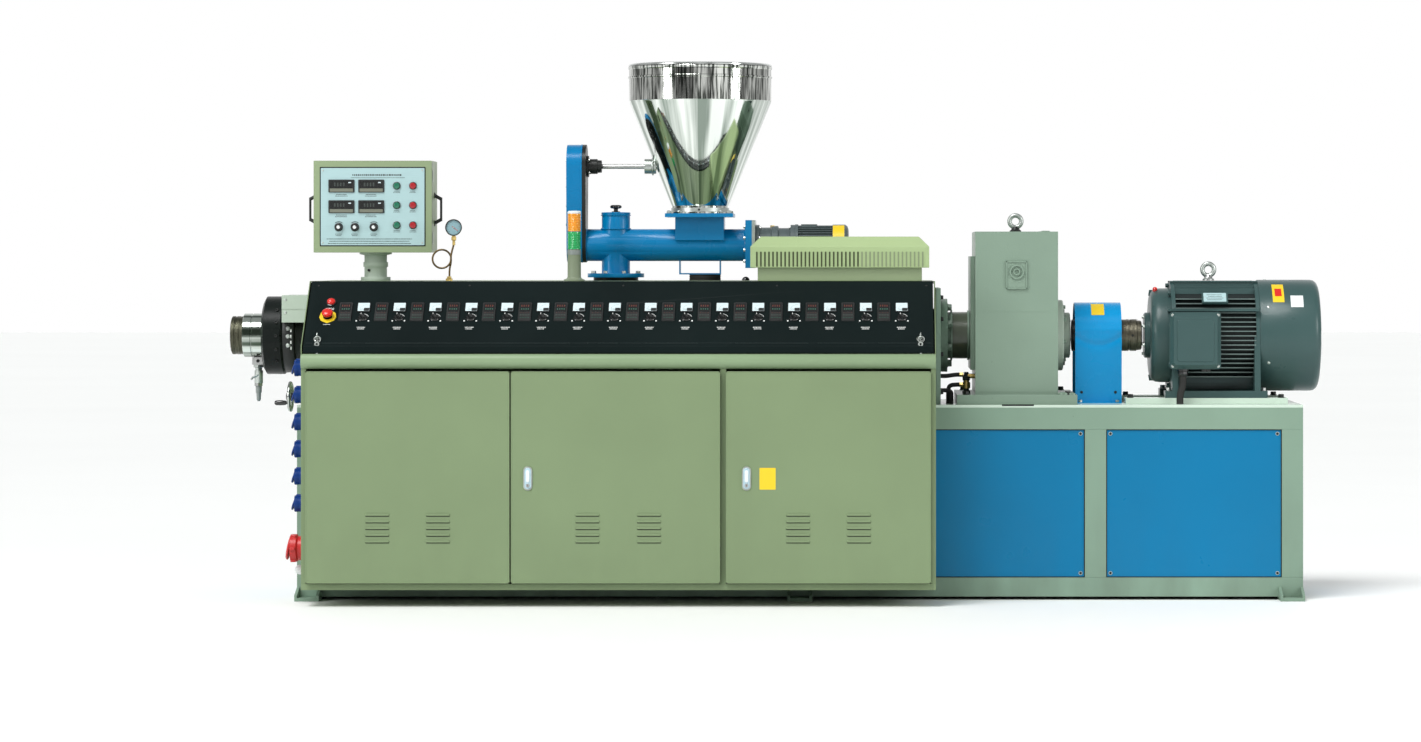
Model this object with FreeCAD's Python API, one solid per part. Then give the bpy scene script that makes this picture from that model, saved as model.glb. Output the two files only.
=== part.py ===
import FreeCAD, Part

# Conical twin-screw plastic extruder on its base frame, in millimetres.
# x runs from the melt outlet to the motor, with x = 0 at the middle of the machine's length.
# y runs from the operator's side to the back; the functions below count it from the drive axis.
# z runs up from the floor.

import math
import os

from FreeCAD import Vector

# ---- overall sizes -------------------------------------------------------------------------
CABINET_LENGTH = 2282.0
CABINET_DEPTH = 350.0
CABINET_BOTTOM = 62.0
FRAME_WIDTH = 700.0
DECK_HEIGHT = 716.0
AXIS_HEIGHT = 966.0
CONSOLE_TOP = 1171.0

# ---- base frame ----------------------------------------------------------------------------
FRAME_LEFT_REACH = 60.0
FRAME_RIGHT_SETBACK = 84.0
FRAME_BAYS = 5
POST = 78.0
BOTTOM_RAIL_HEIGHT = 70.0
TOP_RAIL_HEIGHT = 80.0
DECK_THICKNESS = 10.0
INFILL_THICKNESS = 3.0
INFILL_RECESS = 6.0
FOOT_PLATE_THICKNESS = 12.0
FOOT_LENGTH = 90.0
FOOT_REACH = 80.0
FOOT_GUSSET_THICKNESS = 10.0
FOOT_GUSSET_HEIGHT = 48.0
ANCHOR_HOLE_RADIUS = 11.0
ANCHOR_HOLE_REACH = 46.0

# ---- cabinet -------------------------------------------------------------------------------
SHEET = 3.0
STILE_WIDTH = 18.0
DIVIDER_WIDTH = 21.0
LEFT_DOOR_WIDTH = 733.0
RIGHT_DOOR_WIDTH = 736.0
SILL_HEIGHT = 22.0
FOLD_DEPTH = 20.0
BAND_BOTTOM = 857.0
BAND_TOP = 911.0
BAND_BULGE = 18.0

# ---- doors ---------------------------------------------------------------------------------
DOOR_BOTTOM_GAP = 3.0
DOOR_TOP_GAP = 9.0
DOOR_SEAM = 5.0
DOOR_THICKNESS = 16.0
DOOR_SKIN = 2.5
DOOR_STANDOFF = 5.0
DOOR_EDGE_INSET = 7.0
HINGE_PIN_RADIUS = 4.0
HINGE_CLEARANCE = 0.05
HINGE_KNUCKLE_RADIUS = 6.5
HINGE_KNUCKLE_LENGTH = 40.0
HINGE_END_OFFSET = 90.0
HINGE_PLAY = 0.3
HINGE_ARM_HEIGHT = 10.0
HINGE_ARM_BACK = 2.0
HINGE_ARM_FRONT = 5.0
HINGE_ROOT_DEPTH = 12.0
HINGE_NOTCH_MARGIN = 2.0
LOCK_WIDTH = 36.0
LOCK_HEIGHT = 90.0
LOCK_PROUD = 5.0
LOCK_BOTTOM = 419.0
LOCK_INSET_MIDDLE = 61.0
LOCK_INSET_RIGHT = 74.0

# ---- console -------------------------------------------------------------------------------
FASCIA_PITCH_DEG = 42.5
FASCIA_SHEET = 2.5
FASCIA_BOTTOM = 937.0
FASCIA_LIP_GAP = 3.0
FASCIA_SIDE_GAP = 5.0
FASCIA_HINGE_SETBACK = 447.0
FASCIA_ROD_RADIUS = 3.0
FASCIA_KNUCKLE_RADIUS = 6.0
FASCIA_GUARD_EDGE = 2.0
TOP_COVER_GAP = 3.0
CONTROL_PAIRS = 16
CONTROL_PITCH = 130.0
CONTROLLER_WIDTH = 48.0
CONTROLLER_HEIGHT = 96.0
CONTROLLER_DEPTH = 80.0
CONTROLLER_X = 144.7
CONTROLLER_DOWN = 163.0
METER_SIZE = 48.0
METER_DEPTH = 50.0
METER_DOWN = 141.0
SWITCH_RADIUS = 18.0
SWITCH_SHAFT_RADIUS = 9.0
SWITCH_BLOCK = 36.0
SWITCH_DEPTH = 45.0
SWITCH_DOWN = 194.0
BEZEL_PROUD = 5.0
CUTOUT_CLEARANCE = 0.5
BEZEL_LAP = 2.0
ALARM_LAMP_X = 89.0
ALARM_LAMP_DOWN = 113.0
ALARM_LAMP_RADIUS = 15.0
STOP_X = 83.0
STOP_DOWN = 188.0
STOP_PLATE_WIDTH = 62.0
STOP_PLATE_LENGTH = 78.0
STOP_PLATE_THICKNESS = 3.0
STOP_COLLAR_RADIUS = 18.0
STOP_COLLAR_HEIGHT = 8.0
STOP_STEM_RADIUS = 9.0
STOP_STEM_CLEARANCE = 0.05
STOP_STEM_LENGTH = 40.0
STOP_HEAD_RADIUS = 20.0
STOP_HEAD_CROWN_RADIUS = 14.0
STOP_HEAD_HEIGHT = 16.0
STOP_HEAD_GAP = 10.0
KEY_INSET = 56.0
KEY_DOWN = 306.0
KEY_BARREL_RADIUS = 9.0
KEY_BARREL_PROUD = 7.0
KEY_BLADE_WIDTH = 20.0
KEY_BLADE_LENGTH = 26.0
KEY_BLADE_THICKNESS = 2.5

# ---- barrel and melt head ------------------------------------------------------------------
HEAD_LENGTH = 348.0
NOSE_LENGTH = 46.0
NOSE_RADIUS = 71.5
OUTLET_RADIUS = 42.0
ADAPTOR_LENGTH = 76.0
ADAPTOR_RADIUS = 81.5
HEATER_RING_LENGTH = 83.0
HEATER_RING_RADIUS = 146.0
HEATER_RING_CHAMFER = 18.0
HEATER_RING_HALF_GAP = 1.5
BARREL_FLANGE_LENGTH = 42.0
BARREL_FLANGE_RADIUS = 140.0
BARREL_RADIUS = 100.0
BARREL_HOLE_GAP = 12.0
CURVED_GAP = 0.3
END_HOOD_LENGTH = 141.0
END_HOOD_WIDTH = 330.0
END_HOOD_TOP = AXIS_HEIGHT + 151.0
END_HOOD_BOTTOM = AXIS_HEIGHT + 50.0
END_HOOD_CLEARANCE = 6.0
SENSOR_X_OFFSET = 99.0
SENSOR_DEPTH = 5.0
SENSOR_BLOCK_WIDTH = 44.0
SENSOR_BLOCK_BOTTOM = 856.0
SENSOR_BODY_RADIUS = 17.0
SENSOR_BODY_BOTTOM = 773.0
SENSOR_TIP_RADIUS = 9.0
SENSOR_TIP_BOTTOM = 718.0

# ---- drive train ---------------------------------------------------------------------------
BEARING_WALL_GAP = 6.0
BEARING_WALL_THICKNESS = 17.0
BEARING_WALL_WIDTH = 560.0
BEARING_WALL_TOP = 1144.0
TRANSFER_FLANGE_LENGTH = 28.0
TRANSFER_FLANGE_RADIUS = 137.0
SLEEVE_LENGTH = 83.0
SLEEVE_RADIUS = 86.5
GEARBOX_PLATE_THICKNESS = 16.0
GEARBOX_PLATE_BOTTOM = 841.0
GEARBOX_PLATE_TOP = 1262.0
GEARBOX_PLATE_WIDTH = 420.0
GEARBOX_LENGTH = 305.0
GEARBOX_WIDTH = 600.0
GEARBOX_TOP = 1353.0
GEARBOX_FOOT_THICKNESS = 36.0
GEARBOX_FOOT_LEFT = 68.0
GEARBOX_FOOT_RIGHT = 70.0
GEARBOX_FOOT_WIDTH = 660.0
GEARBOX_CAP_THICKNESS = 29.0
GEARBOX_CAP_RADIUS = 132.0
GEARBOX_NECK_LENGTH = 26.0
GEARBOX_NECK_RADIUS = 85.0
GEARBOX_BORE_DEPTH = 30.0
BADGE_WIDTH = 78.0
BADGE_BOTTOM = 1141.0
BADGE_TOP = 1244.0
BADGE_PROUD = 5.0
GEARBOX_EYE_X = 157.0
EYEBOLT_RING_RADIUS = 22.0
EYEBOLT_BAR_RADIUS = 9.0
EYEBOLT_SHANK_RADIUS = 14.0
SHAFT_RADIUS = 30.0
SHAFT_CLEARANCE = 0.05
COUPLING_GAP = 6.0
COUPLING_HUB_RADIUS = 59.0
COUPLING_HUB_LENGTH = 101.5
COUPLING_DISC_RADIUS = 104.0
COUPLING_DISC_LENGTH = 28.0
COUPLING_DISC_GAP = 4.0
COUPLING_PIN_CIRCLE = 160.0
COUPLING_PIN_RADIUS = 10.0
COUPLING_PINS = 6
GUARD_START_GAP = 16.0
GUARD_LENGTH = 173.0
GUARD_SHEET = 3.0
GUARD_RADIUS = 123.0
GUARD_FOOT = 30.0
MOTOR_SHAFT_VISIBLE = 9.0

# ---- main motor ----------------------------------------------------------------------------
MOTOR_CAP_LENGTH = 20.0
MOTOR_CAP_RADIUS = 85.0
MOTOR_BELL_LENGTH = 74.0
MOTOR_BELL_RADIUS = 176.0
MOTOR_FRAME_LENGTH = 327.0
MOTOR_FRAME_RADIUS = 206.0
MOTOR_COWL_LENGTH = 228.0
MOTOR_COWL_RADIUS = 208.0
MOTOR_COWL_ROUND = 24.0
MOTOR_FOOT_THICKNESS = 26.0
MOTOR_FOOT_WIDTH = 90.0
MOTOR_FOOT_SPAN = 420.0
MOTOR_WEB_THICKNESS = 22.0
TERMINAL_BOX_LEAD = 15.0
TERMINAL_BOX_LENGTH = 190.0
TERMINAL_BOX_BOTTOM = 845.0
TERMINAL_BOX_TOP = 1056.0
TERMINAL_BOX_REACH = 300.0
SLIDE_RAIL_THICKNESS = 21.0
SLIDE_RAIL_WIDTH = 110.0
SLIDE_RAIL_LENGTH = 600.0
SLIDE_RAIL_X = -79.0
MOTOR_EYE_X = 242.0
CABLE_RADIUS = 13.0
GLAND_RADIUS = 20.0
GLAND_LENGTH = 26.0
CABLE_X = 51.0
CABLE_Y = -254.0
CABLE_SIDESTEP = 11.0
CABLE_SLANT_HALF = 16.0

# ---- oil hoses of the gearbox --------------------------------------------------------------
HOSE_RADIUS = 8.0
HOSE_Y = -190.0
LOW_HOSE_Y = -225.0
LOW_HOSE_HEIGHT = 766.0
LOW_HOSE_REACH = 40.0
HOSE_STRAIGHT = 24.0
HOSE_RISE = 5.0
RISING_HOSE_SETBACK = 50.0
RISING_HOSE_HEIGHT = 786.0
VALVE_RADIUS = 17.0
VALVE_HEIGHT = 83.0
VALVE_X = -31.0
NIPPLE_RADIUS = 8.0
NIPPLE_HEIGHT = 66.0

# ---- feeder --------------------------------------------------------------------------------
FEED_AXIS_HEIGHT = 1304.0
FEED_TUBE_RADIUS = 60.0
FEED_TUBE_LENGTH = 597.0
FEED_TUBE_X = -704.0
FEED_PORT_X = -595.0
FEED_PORT_RADIUS = 53.0
FEED_PORT_TOP = 1421.0
FEED_PORT_FLANGE_RADIUS = 106.0
FEED_PORT_FLANGE_THICKNESS = 15.0
FEED_RING_RADIUS = 84.0
FEED_RING_THICKNESS = 12.0
PORT_CAP_THICKNESS = 6.0
PORT_KNOB_RADIUS = 22.0
PORT_KNOB_HEIGHT = 15.0
PORT_KNOB_STEM_RADIUS = 8.0
PORT_KNOB_STEM_HEIGHT = 13.0
FEED_DUCT_LENGTH = 182.0
FEED_DUCT_WIDTH = 140.0
FEED_DUCT_BOTTOM = 1322.0
FEED_DUCT_WALL = 6.0
THROAT_WIDTH = 90.0
DUCT_FLANGE_LENGTH = 254.0
DUCT_FLANGE_WIDTH = 240.0
DUCT_FLANGE_BOTTOM = 1408.0
DUCT_FLANGE_THICKNESS = 14.0
STRAP_LENGTH = 156.0
STRAP_WIDTH = 50.0
STRAP_BAR = 5.0
STRAP_BOTTOM = 1194.0
STRAP_SIDE_TOP = 1280.0
SUPPORT_DISC_RADIUS = 60.0
SUPPORT_DISC_OFFSET = 18.0
FEED_FLANGE_THICKNESS = 24.0
FEED_FLANGE_PLATE = 12.0
FEED_FLANGE_BOTTOM = 1218.0
FEED_FLANGE_TOP = 1397.0
FEED_GEAR_LENGTH = 148.0
FEED_GEAR_RADIUS = 76.0
FEED_MOTOR_LENGTH = 201.0
FEED_MOTOR_RADIUS = 78.0
CHAIN_COVER_THICKNESS = 58.0
CHAIN_COVER_BACK = 14.0
CHAIN_COVER_TOP_RADIUS = 83.0
CHAIN_COVER_BOTTOM_RADIUS = 66.0
AGITATOR_HEIGHT = 1598.6
AGITATOR_SHAFT_RADIUS = 9.0
AGITATOR_HUB_RADIUS = 28.0
AGITATOR_HUB_LENGTH = 56.0
HOPPER_BOSS_RADIUS = 28.0
HOPPER_BOSS_LENGTH = 43.0
AGITATOR_CLEARANCE = 0.05

# ---- hopper --------------------------------------------------------------------------------
HOPPER_X = -278.6
HOPPER_WALL = 3.0
HOPPER_COLLAR_RADIUS = 106.0
HOPPER_COLLAR_HEIGHT = 28.0
HOPPER_FLANGE_RADIUS = 116.0
HOPPER_FLANGE_THICKNESS = 6.0
HOPPER_RADIUS = 266.5
HOPPER_CONE_HEIGHT = 387.0
HOPPER_RIM_HEIGHT = 135.0
LID_SKIRT_GAP = 5.0
LID_SKIRT = 30.0
LID_SHEET = 3.0
LID_CROWN = 8.0

# ---- vent hood, signal tower, gauge --------------------------------------------------------
HOOD_X = 248.5
HOOD_FRONT = 430.0
HOOD_BASE_LENGTH = 601.0
HOOD_BASE_WIDTH = 292.0
HOOD_LID_LENGTH = 654.0
HOOD_LID_WIDTH = 330.0
HOOD_LID_BOTTOM = 1220.0
HOOD_LID_SIDE = 77.0
HOOD_LID_RISE = 37.0
HOOD_LID_HIP = 38.0
HOOD_KNOB_X = -108.0
HOOD_KNOB_RADIUS = 15.0
TOWER_X = -737.5
TOWER_Y = -200.0
TOWER_RADIUS = 25.0
TOWER_BASE_RADIUS = 39.0
TOWER_BASE_THICKNESS = 9.0
TOWER_POLE_TOP = 1287.0
TOWER_LAMP_HEIGHT = 67.0
TOWER_CAP_HEIGHT = 10.0
GAUGE_X = -1179.0
GAUGE_Y = -250.0
GAUGE_HEIGHT = 1368.0
GAUGE_RADIUS = 31.0
GAUGE_THICKNESS = 30.0
GAUGE_NUT_RADIUS = 10.0
GAUGE_NUT_HEIGHT = 34.0
SIPHON_RADIUS = 3.5
SIPHON_LOOP_RADIUS = 34.0
SIPHON_LOOP_X = -45.0
SIPHON_LOOP_HEIGHT = 1252.0
SIPHON_PITCH = 9.0
SIPHON_BASE_X = -17.0
SIPHON_BASE_RADIUS = 14.0
SIPHON_BASE_HEIGHT = 10.0

# ---- operator box --------------------------------------------------------------------------
PANEL_BOX_X = -1484.5
PANEL_BOX_LENGTH = 438.0
PANEL_BOX_BOTTOM = 1276.0
PANEL_BOX_HEIGHT = 340.0
PANEL_BOX_DEPTH = 200.0
PANEL_BOX_Y = -100.0
PANEL_FACE_MARGIN = 25.0
PANEL_FACE_PROUD = 2.0
PANEL_METER_WIDTH = 97.0
PANEL_METER_HEIGHT = 48.0
PANEL_METER_COLUMNS = (-115.5, -5.0)
PANEL_METER_ROWS = (246.0, 169.5)
PANEL_METER_PROUD = 4.0
PANEL_KNOB_COLUMNS = (-125.5, -65.5, 4.5)
PANEL_KNOB_ROW = 94.0
PANEL_KNOB_RADIUS = 14.0
PANEL_KNOB_PROUD = 16.0
PANEL_BUTTON_ROWS = (247.0, 175.0, 101.0)
PANEL_START_COLUMN = 89.5
PANEL_STOP_COLUMN = 149.5
PANEL_BUTTON_RADIUS = 13.5
PANEL_BUTTON_PROUD = 9.0
PANEL_HANDLE_BOTTOM = 109.0
PANEL_HANDLE_TOP = 213.0
PANEL_HANDLE_REACH = 25.0
PANEL_HANDLE_BAR = 8.0
PEDESTAL_RADIUS = 42.0
PEDESTAL_FLANGE_RADIUS = 55.0
PEDESTAL_FLANGE_THICKNESS = 14.0
PEDESTAL_RING_RADIUS = 46.0
PEDESTAL_RING_HEIGHT = 18.0
PEDESTAL_SPIGOT_RADIUS = 25.0
PEDESTAL_SPIGOT_HEIGHT = 40.0
SWIVEL_GAP = 2.0
SWIVEL_CLEARANCE = 0.05

# ---- left end: sockets and handwheel -------------------------------------------------------
SOCKET_Y = -560.0
SOCKET_COUNT = 6
SOCKET_LOWEST = 365.0
SOCKET_PITCH = 98.3
SOCKET_RADIUS = 30.0
SOCKET_REACH = 42.0
SOCKET_BASE = 70.0
SOCKET_BASE_THICKNESS = 8.0
MAIN_SOCKET_HEIGHT = 204.0
MAIN_SOCKET_RADIUS = 50.0
MAIN_SOCKET_REACH = 68.0
CABLE_GLAND_HEIGHT = 121.0
CABLE_GLAND_RADIUS = 19.0
CABLE_GLAND_REACH = 48.0
WHEEL_Y = -440.0
WHEEL_HEIGHT = 749.0
WHEEL_RADIUS = 56.0
WHEEL_RIM_RADIUS = 7.0
WHEEL_REACH = 72.0
WHEEL_HUB_RADIUS = 14.0
WHEEL_HUB_LENGTH = 26.0
WHEEL_SPOKE_RADIUS = 5.0
WHEEL_SPOKES = 3
WHEEL_BOSS_RADIUS = 20.0
WHEEL_BOSS_LENGTH = 40.0
WHEEL_SHAFT_RADIUS = 8.0
WHEEL_CLEARANCE = 0.05
GRIP_RADIUS = 10.0
GRIP_LENGTH = 46.0
GRIP_DOWN = 21.0

# ---- places along x ------------------------------------------------------------------------
GEARBOX_START = (BEARING_WALL_GAP + BEARING_WALL_THICKNESS + TRANSFER_FLANGE_LENGTH
                 + SLEEVE_LENGTH + GEARBOX_PLATE_THICKNESS)
NECK_END = GEARBOX_START + GEARBOX_LENGTH + GEARBOX_CAP_THICKNESS + GEARBOX_NECK_LENGTH
COUPLING_LENGTH = (2 * COUPLING_HUB_LENGTH + 2 * COUPLING_DISC_LENGTH
                   + COUPLING_DISC_GAP)
MOTOR_START = NECK_END + COUPLING_GAP + COUPLING_LENGTH + MOTOR_SHAFT_VISIBLE
MOTOR_LENGTH = (MOTOR_CAP_LENGTH + MOTOR_BELL_LENGTH + MOTOR_FRAME_LENGTH
                + MOTOR_COWL_LENGTH)
DRIVE_LENGTH = MOTOR_START + MOTOR_LENGTH
TOTAL_LENGTH = HEAD_LENGTH + CABINET_LENGTH + DRIVE_LENGTH

HEAD_TIP_X = -TOTAL_LENGTH / 2
CABINET_LEFT_X = HEAD_TIP_X + HEAD_LENGTH
CABINET_RIGHT_X = CABINET_LEFT_X + CABINET_LENGTH
BEARING_WALL_X = CABINET_RIGHT_X + BEARING_WALL_GAP
FLANGE_X = BEARING_WALL_X + BEARING_WALL_THICKNESS
SLEEVE_X = FLANGE_X + TRANSFER_FLANGE_LENGTH
GEARBOX_X = CABINET_RIGHT_X + GEARBOX_START
GEARBOX_CAP_X = GEARBOX_X + GEARBOX_LENGTH
NECK_END_X = CABINET_RIGHT_X + NECK_END
COUPLING_X = NECK_END_X + COUPLING_GAP
GUARD_X = NECK_END_X + GUARD_START_GAP
MOTOR_X = CABINET_RIGHT_X + MOTOR_START
MOTOR_END_X = MOTOR_X + MOTOR_LENGTH
FRAME_LEFT_X = CABINET_LEFT_X - FRAME_LEFT_REACH
FRAME_RIGHT_X = MOTOR_END_X - FRAME_RIGHT_SETBACK

# ---- places across y, from the drive axis ------------------------------------------------------
FRAME_FRONT_Y = -FRAME_WIDTH / 2
FRAME_BACK_Y = FRAME_WIDTH / 2
CABINET_FRONT_Y = FRAME_FRONT_Y - CABINET_DEPTH
DOOR_BACK_Y = CABINET_FRONT_Y - DOOR_STANDOFF
DOOR_FRONT_Y = DOOR_BACK_Y - DOOR_THICKNESS
FRONT_Y = DOOR_FRONT_Y - LOCK_PROUD
BACK_Y = FRAME_BACK_Y + FOOT_REACH
AXIS_Y = -(FRONT_Y + BACK_Y) / 2

# ---- heights -------------------------------------------------------------------------------
RAIL_BOTTOM = FOOT_PLATE_THICKNESS
RAIL_TOP = RAIL_BOTTOM + BOTTOM_RAIL_HEIGHT
DECK_BOTTOM = DECK_HEIGHT - DECK_THICKNESS
TOP_RAIL_BOTTOM = DECK_BOTTOM - TOP_RAIL_HEIGHT
DOOR_BOTTOM = CABINET_BOTTOM + SILL_HEIGHT + DOOR_BOTTOM_GAP
DOOR_TOP = BAND_BOTTOM - DOOR_TOP_GAP
HOPPER_BOTTOM = DUCT_FLANGE_BOTTOM + DUCT_FLANGE_THICKNESS
HOPPER_CONE_BOTTOM = HOPPER_BOTTOM + HOPPER_COLLAR_HEIGHT
HOPPER_CONE_TOP = HOPPER_CONE_BOTTOM + HOPPER_CONE_HEIGHT
HOPPER_TOP = HOPPER_CONE_TOP + HOPPER_RIM_HEIGHT

# ---- fascia plane --------------------------------------------------------------------------
FASCIA_ANGLE = math.radians(FASCIA_PITCH_DEG)
FASCIA_HINGE_Y = -FASCIA_HINGE_SETBACK
FASCIA_HINGE_Z = CONSOLE_TOP - FASCIA_KNUCKLE_RADIUS
FASCIA_LENGTH = ((FASCIA_HINGE_Z + FASCIA_KNUCKLE_RADIUS * math.cos(FASCIA_ANGLE) - FASCIA_BOTTOM)
                 / math.sin(FASCIA_ANGLE))
FASCIA_LEFT_X = CABINET_LEFT_X + SHEET + FASCIA_SIDE_GAP
FASCIA_RIGHT_X = CABINET_RIGHT_X - SHEET - FASCIA_SIDE_GAP


# ---- basic shapes --------------------------------------------------------------------------
def box(x0, x1, y0, y1, z0, z1):
    return Part.makeBox(x1 - x0, y1 - y0, z1 - z0, Vector(x0, y0, z0))


def centred_box(x, y, z0, length, width, height):
    return box(x - length / 2, x + length / 2, y - width / 2, y + width / 2, z0, z0 + height)


def rod_x(x0, x1, radius, y=0.0, z=AXIS_HEIGHT):
    return Part.makeCylinder(radius, x1 - x0, Vector(x0, y, z), Vector(1, 0, 0))


def rod_y(y0, y1, radius, x, z):
    return Part.makeCylinder(radius, y1 - y0, Vector(x, y0, z), Vector(0, 1, 0))


def rod_z(z0, z1, radius, x, y):
    return Part.makeCylinder(radius, z1 - z0, Vector(x, y, z0), Vector(0, 0, 1))


def polygon_face(points):
    return Part.Face(Part.makePolygon(points + [points[0]]))


def prism_x(yz_points, x0, x1):
    face = polygon_face([Vector(x0, y, z) for y, z in yz_points])
    return face.extrude(Vector(x1 - x0, 0, 0))


def turned_x(profile, y=0.0, z=AXIS_HEIGHT):
    """Solid of revolution about a line along x; the profile lists (x, radius)."""
    face = polygon_face([Vector(x, y, z + radius) for x, radius in profile])
    return face.revolve(Vector(0, y, z), Vector(1, 0, 0), 360)


def turned_z(profile, x, y=0.0):
    """Solid of revolution about an upright line; the profile lists (radius, z)."""
    face = polygon_face([Vector(x + radius, y, z) for radius, z in profile])
    return face.revolve(Vector(x, y, 0), Vector(0, 0, 1), 360)


def fuse(first, *others):
    return first.fuse(list(others)).removeSplitter()


def cut(shape, *tools):
    return shape.cut(list(tools))


def rounded(shape, radius, selects):
    edges = [edge for edge in shape.Edges if selects(edge)]
    return shape.makeFillet(radius, edges)


def along(axis):
    """Test for straight edges that run along one axis."""
    def test(edge):
        if not isinstance(edge.Curve, Part.Line):
            return False
        return abs(edge.Curve.Direction.dot(axis)) > 0.999
    return test


def on_fascia(shape, x):
    """Places a shape built with local x along the panel, y up its slope and z outwards."""
    placed = shape.copy()
    placed.rotate(Vector(0, 0, 0), Vector(1, 0, 0), FASCIA_PITCH_DEG)
    placed.translate(Vector(x, FASCIA_HINGE_Y, FASCIA_HINGE_Z))
    return placed


def bent_tube(points, radius, bend_share=0.45):
    """Round tube along straight runs joined by tangent arcs."""
    edges = []
    start = points[0]
    for before, corner, after in zip(points, points[1:], points[2:]):
        towards = (before - corner).normalize()
        away = (after - corner).normalize()
        half_turn = (math.pi - towards.getAngle(away)) / 2
        setback = bend_share * min((before - corner).Length, (after - corner).Length)
        arc_start = corner + towards * setback
        arc_end = corner + away * setback
        bend_radius = setback / math.tan(half_turn)
        bisector = (towards + away).normalize()
        middle = corner + bisector * (bend_radius / math.cos(half_turn) - bend_radius)
        edges.append(Part.LineSegment(start, arc_start).toShape())
        edges.append(Part.Arc(arc_start, middle, arc_end).toShape())
        start = arc_end
        print("bend radius %.1f" % bend_radius)
    edges.append(Part.LineSegment(start, points[-1]).toShape())
    path = Part.Wire(edges)
    direction = points[1] - points[0]
    section = Part.Wire([Part.Circle(points[0], direction, radius).toShape()])
    tube = path.makePipeShell([section], True, False)
    expected = math.pi * radius ** 2 * path.Length
    print("tube length %.1f, volume ratio %.4f" % (path.Length, tube.Volume / expected))
    return tube


# ---- base frame ----------------------------------------------------------------------------
def post_places():
    step = (FRAME_RIGHT_X - FRAME_LEFT_X - POST) / FRAME_BAYS
    return [FRAME_LEFT_X + index * step for index in range(FRAME_BAYS + 1)]


def long_rails(bottom, top):
    front = box(FRAME_LEFT_X, FRAME_RIGHT_X, FRAME_FRONT_Y, FRAME_FRONT_Y + POST, bottom, top)
    back = box(FRAME_LEFT_X, FRAME_RIGHT_X, FRAME_BACK_Y - POST, FRAME_BACK_Y, bottom, top)
    return [front, back]


def base_posts():
    posts = []
    for x in post_places():
        for y in (FRAME_FRONT_Y, FRAME_BACK_Y - POST):
            posts.append(box(x, x + POST, y, y + POST, RAIL_TOP, TOP_RAIL_BOTTOM))
    return posts


def base_cross_beams():
    beams = []
    for x in post_places():
        for bottom, top in ((RAIL_BOTTOM, RAIL_TOP), (TOP_RAIL_BOTTOM, DECK_BOTTOM)):
            beams.append(box(x, x + POST, FRAME_FRONT_Y + POST, FRAME_BACK_Y - POST, bottom, top))
    return beams


def base_rails():
    return long_rails(RAIL_BOTTOM, RAIL_TOP) + long_rails(TOP_RAIL_BOTTOM, DECK_BOTTOM)


def base_deck():
    return [box(FRAME_LEFT_X, FRAME_RIGHT_X, FRAME_FRONT_Y, FRAME_BACK_Y, DECK_BOTTOM, DECK_HEIGHT)]


def foot_places():
    left = FRAME_LEFT_X
    right = FRAME_RIGHT_X - FOOT_LENGTH
    return [left, (left + right) / 2, right]


def base_foot(x, side):
    """Anchor lug: a plate under the rail and two gussets; side is -1 in front, 1 behind."""
    face_y = side * FRAME_WIDTH / 2
    outer_y = face_y + side * FOOT_REACH
    inner_y = face_y - side * POST
    low_y, high_y = sorted((outer_y, inner_y))
    plate = box(x, x + FOOT_LENGTH, low_y, high_y, 0, FOOT_PLATE_THICKNESS)
    hole_y = face_y + side * ANCHOR_HOLE_REACH
    hole = rod_z(0, FOOT_PLATE_THICKNESS, ANCHOR_HOLE_RADIUS, x + FOOT_LENGTH / 2, hole_y)
    plate = cut(plate, hole)
    profile = [(face_y, FOOT_PLATE_THICKNESS), (outer_y, FOOT_PLATE_THICKNESS),
               (outer_y, FOOT_PLATE_THICKNESS + FOOT_GUSSET_THICKNESS),
               (face_y, FOOT_GUSSET_HEIGHT)]
    gussets = []
    for start in (x, x + FOOT_LENGTH - FOOT_GUSSET_THICKNESS):
        gussets.append(prism_x(profile, start, start + FOOT_GUSSET_THICKNESS))
    return fuse(plate, *gussets)


def base_feet():
    return [base_foot(x, side) for x in foot_places() for side in (-1, 1)]


def infill_panel(x0, x1, y0, y1):
    return box(x0, x1, y0, y1, RAIL_TOP, TOP_RAIL_BOTTOM)


def bay_spans():
    places = post_places()
    return [(left + POST, right) for left, right in zip(places, places[1:])]


def front_infill_panels():
    """Only the bays to the right of the cabinet have a panel in front."""
    outer = FRAME_FRONT_Y + INFILL_RECESS
    panels = []
    for x0, x1 in bay_spans():
        if x1 > CABINET_RIGHT_X:
            panels.append(infill_panel(x0, x1, outer, outer + INFILL_THICKNESS))
    return panels


def back_infill_panels():
    outer = FRAME_BACK_Y - INFILL_RECESS
    return [infill_panel(x0, x1, outer - INFILL_THICKNESS, outer) for x0, x1 in bay_spans()]


def end_infill_panels():
    left = FRAME_LEFT_X + INFILL_RECESS
    right = FRAME_RIGHT_X - INFILL_RECESS
    y0 = FRAME_FRONT_Y + POST
    y1 = FRAME_BACK_Y - POST
    return [infill_panel(left, left + INFILL_THICKNESS, y0, y1),
            infill_panel(right - INFILL_THICKNESS, right, y0, y1)]


def infill_panels():
    return front_infill_panels() + back_infill_panels() + end_infill_panels()


# ---- cabinet -------------------------------------------------------------------------------
def divider_x():
    """Left face of the stile between the double door and the right door."""
    return CABINET_RIGHT_X - STILE_WIDTH - RIGHT_DOOR_WIDTH - DIVIDER_WIDTH


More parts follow.
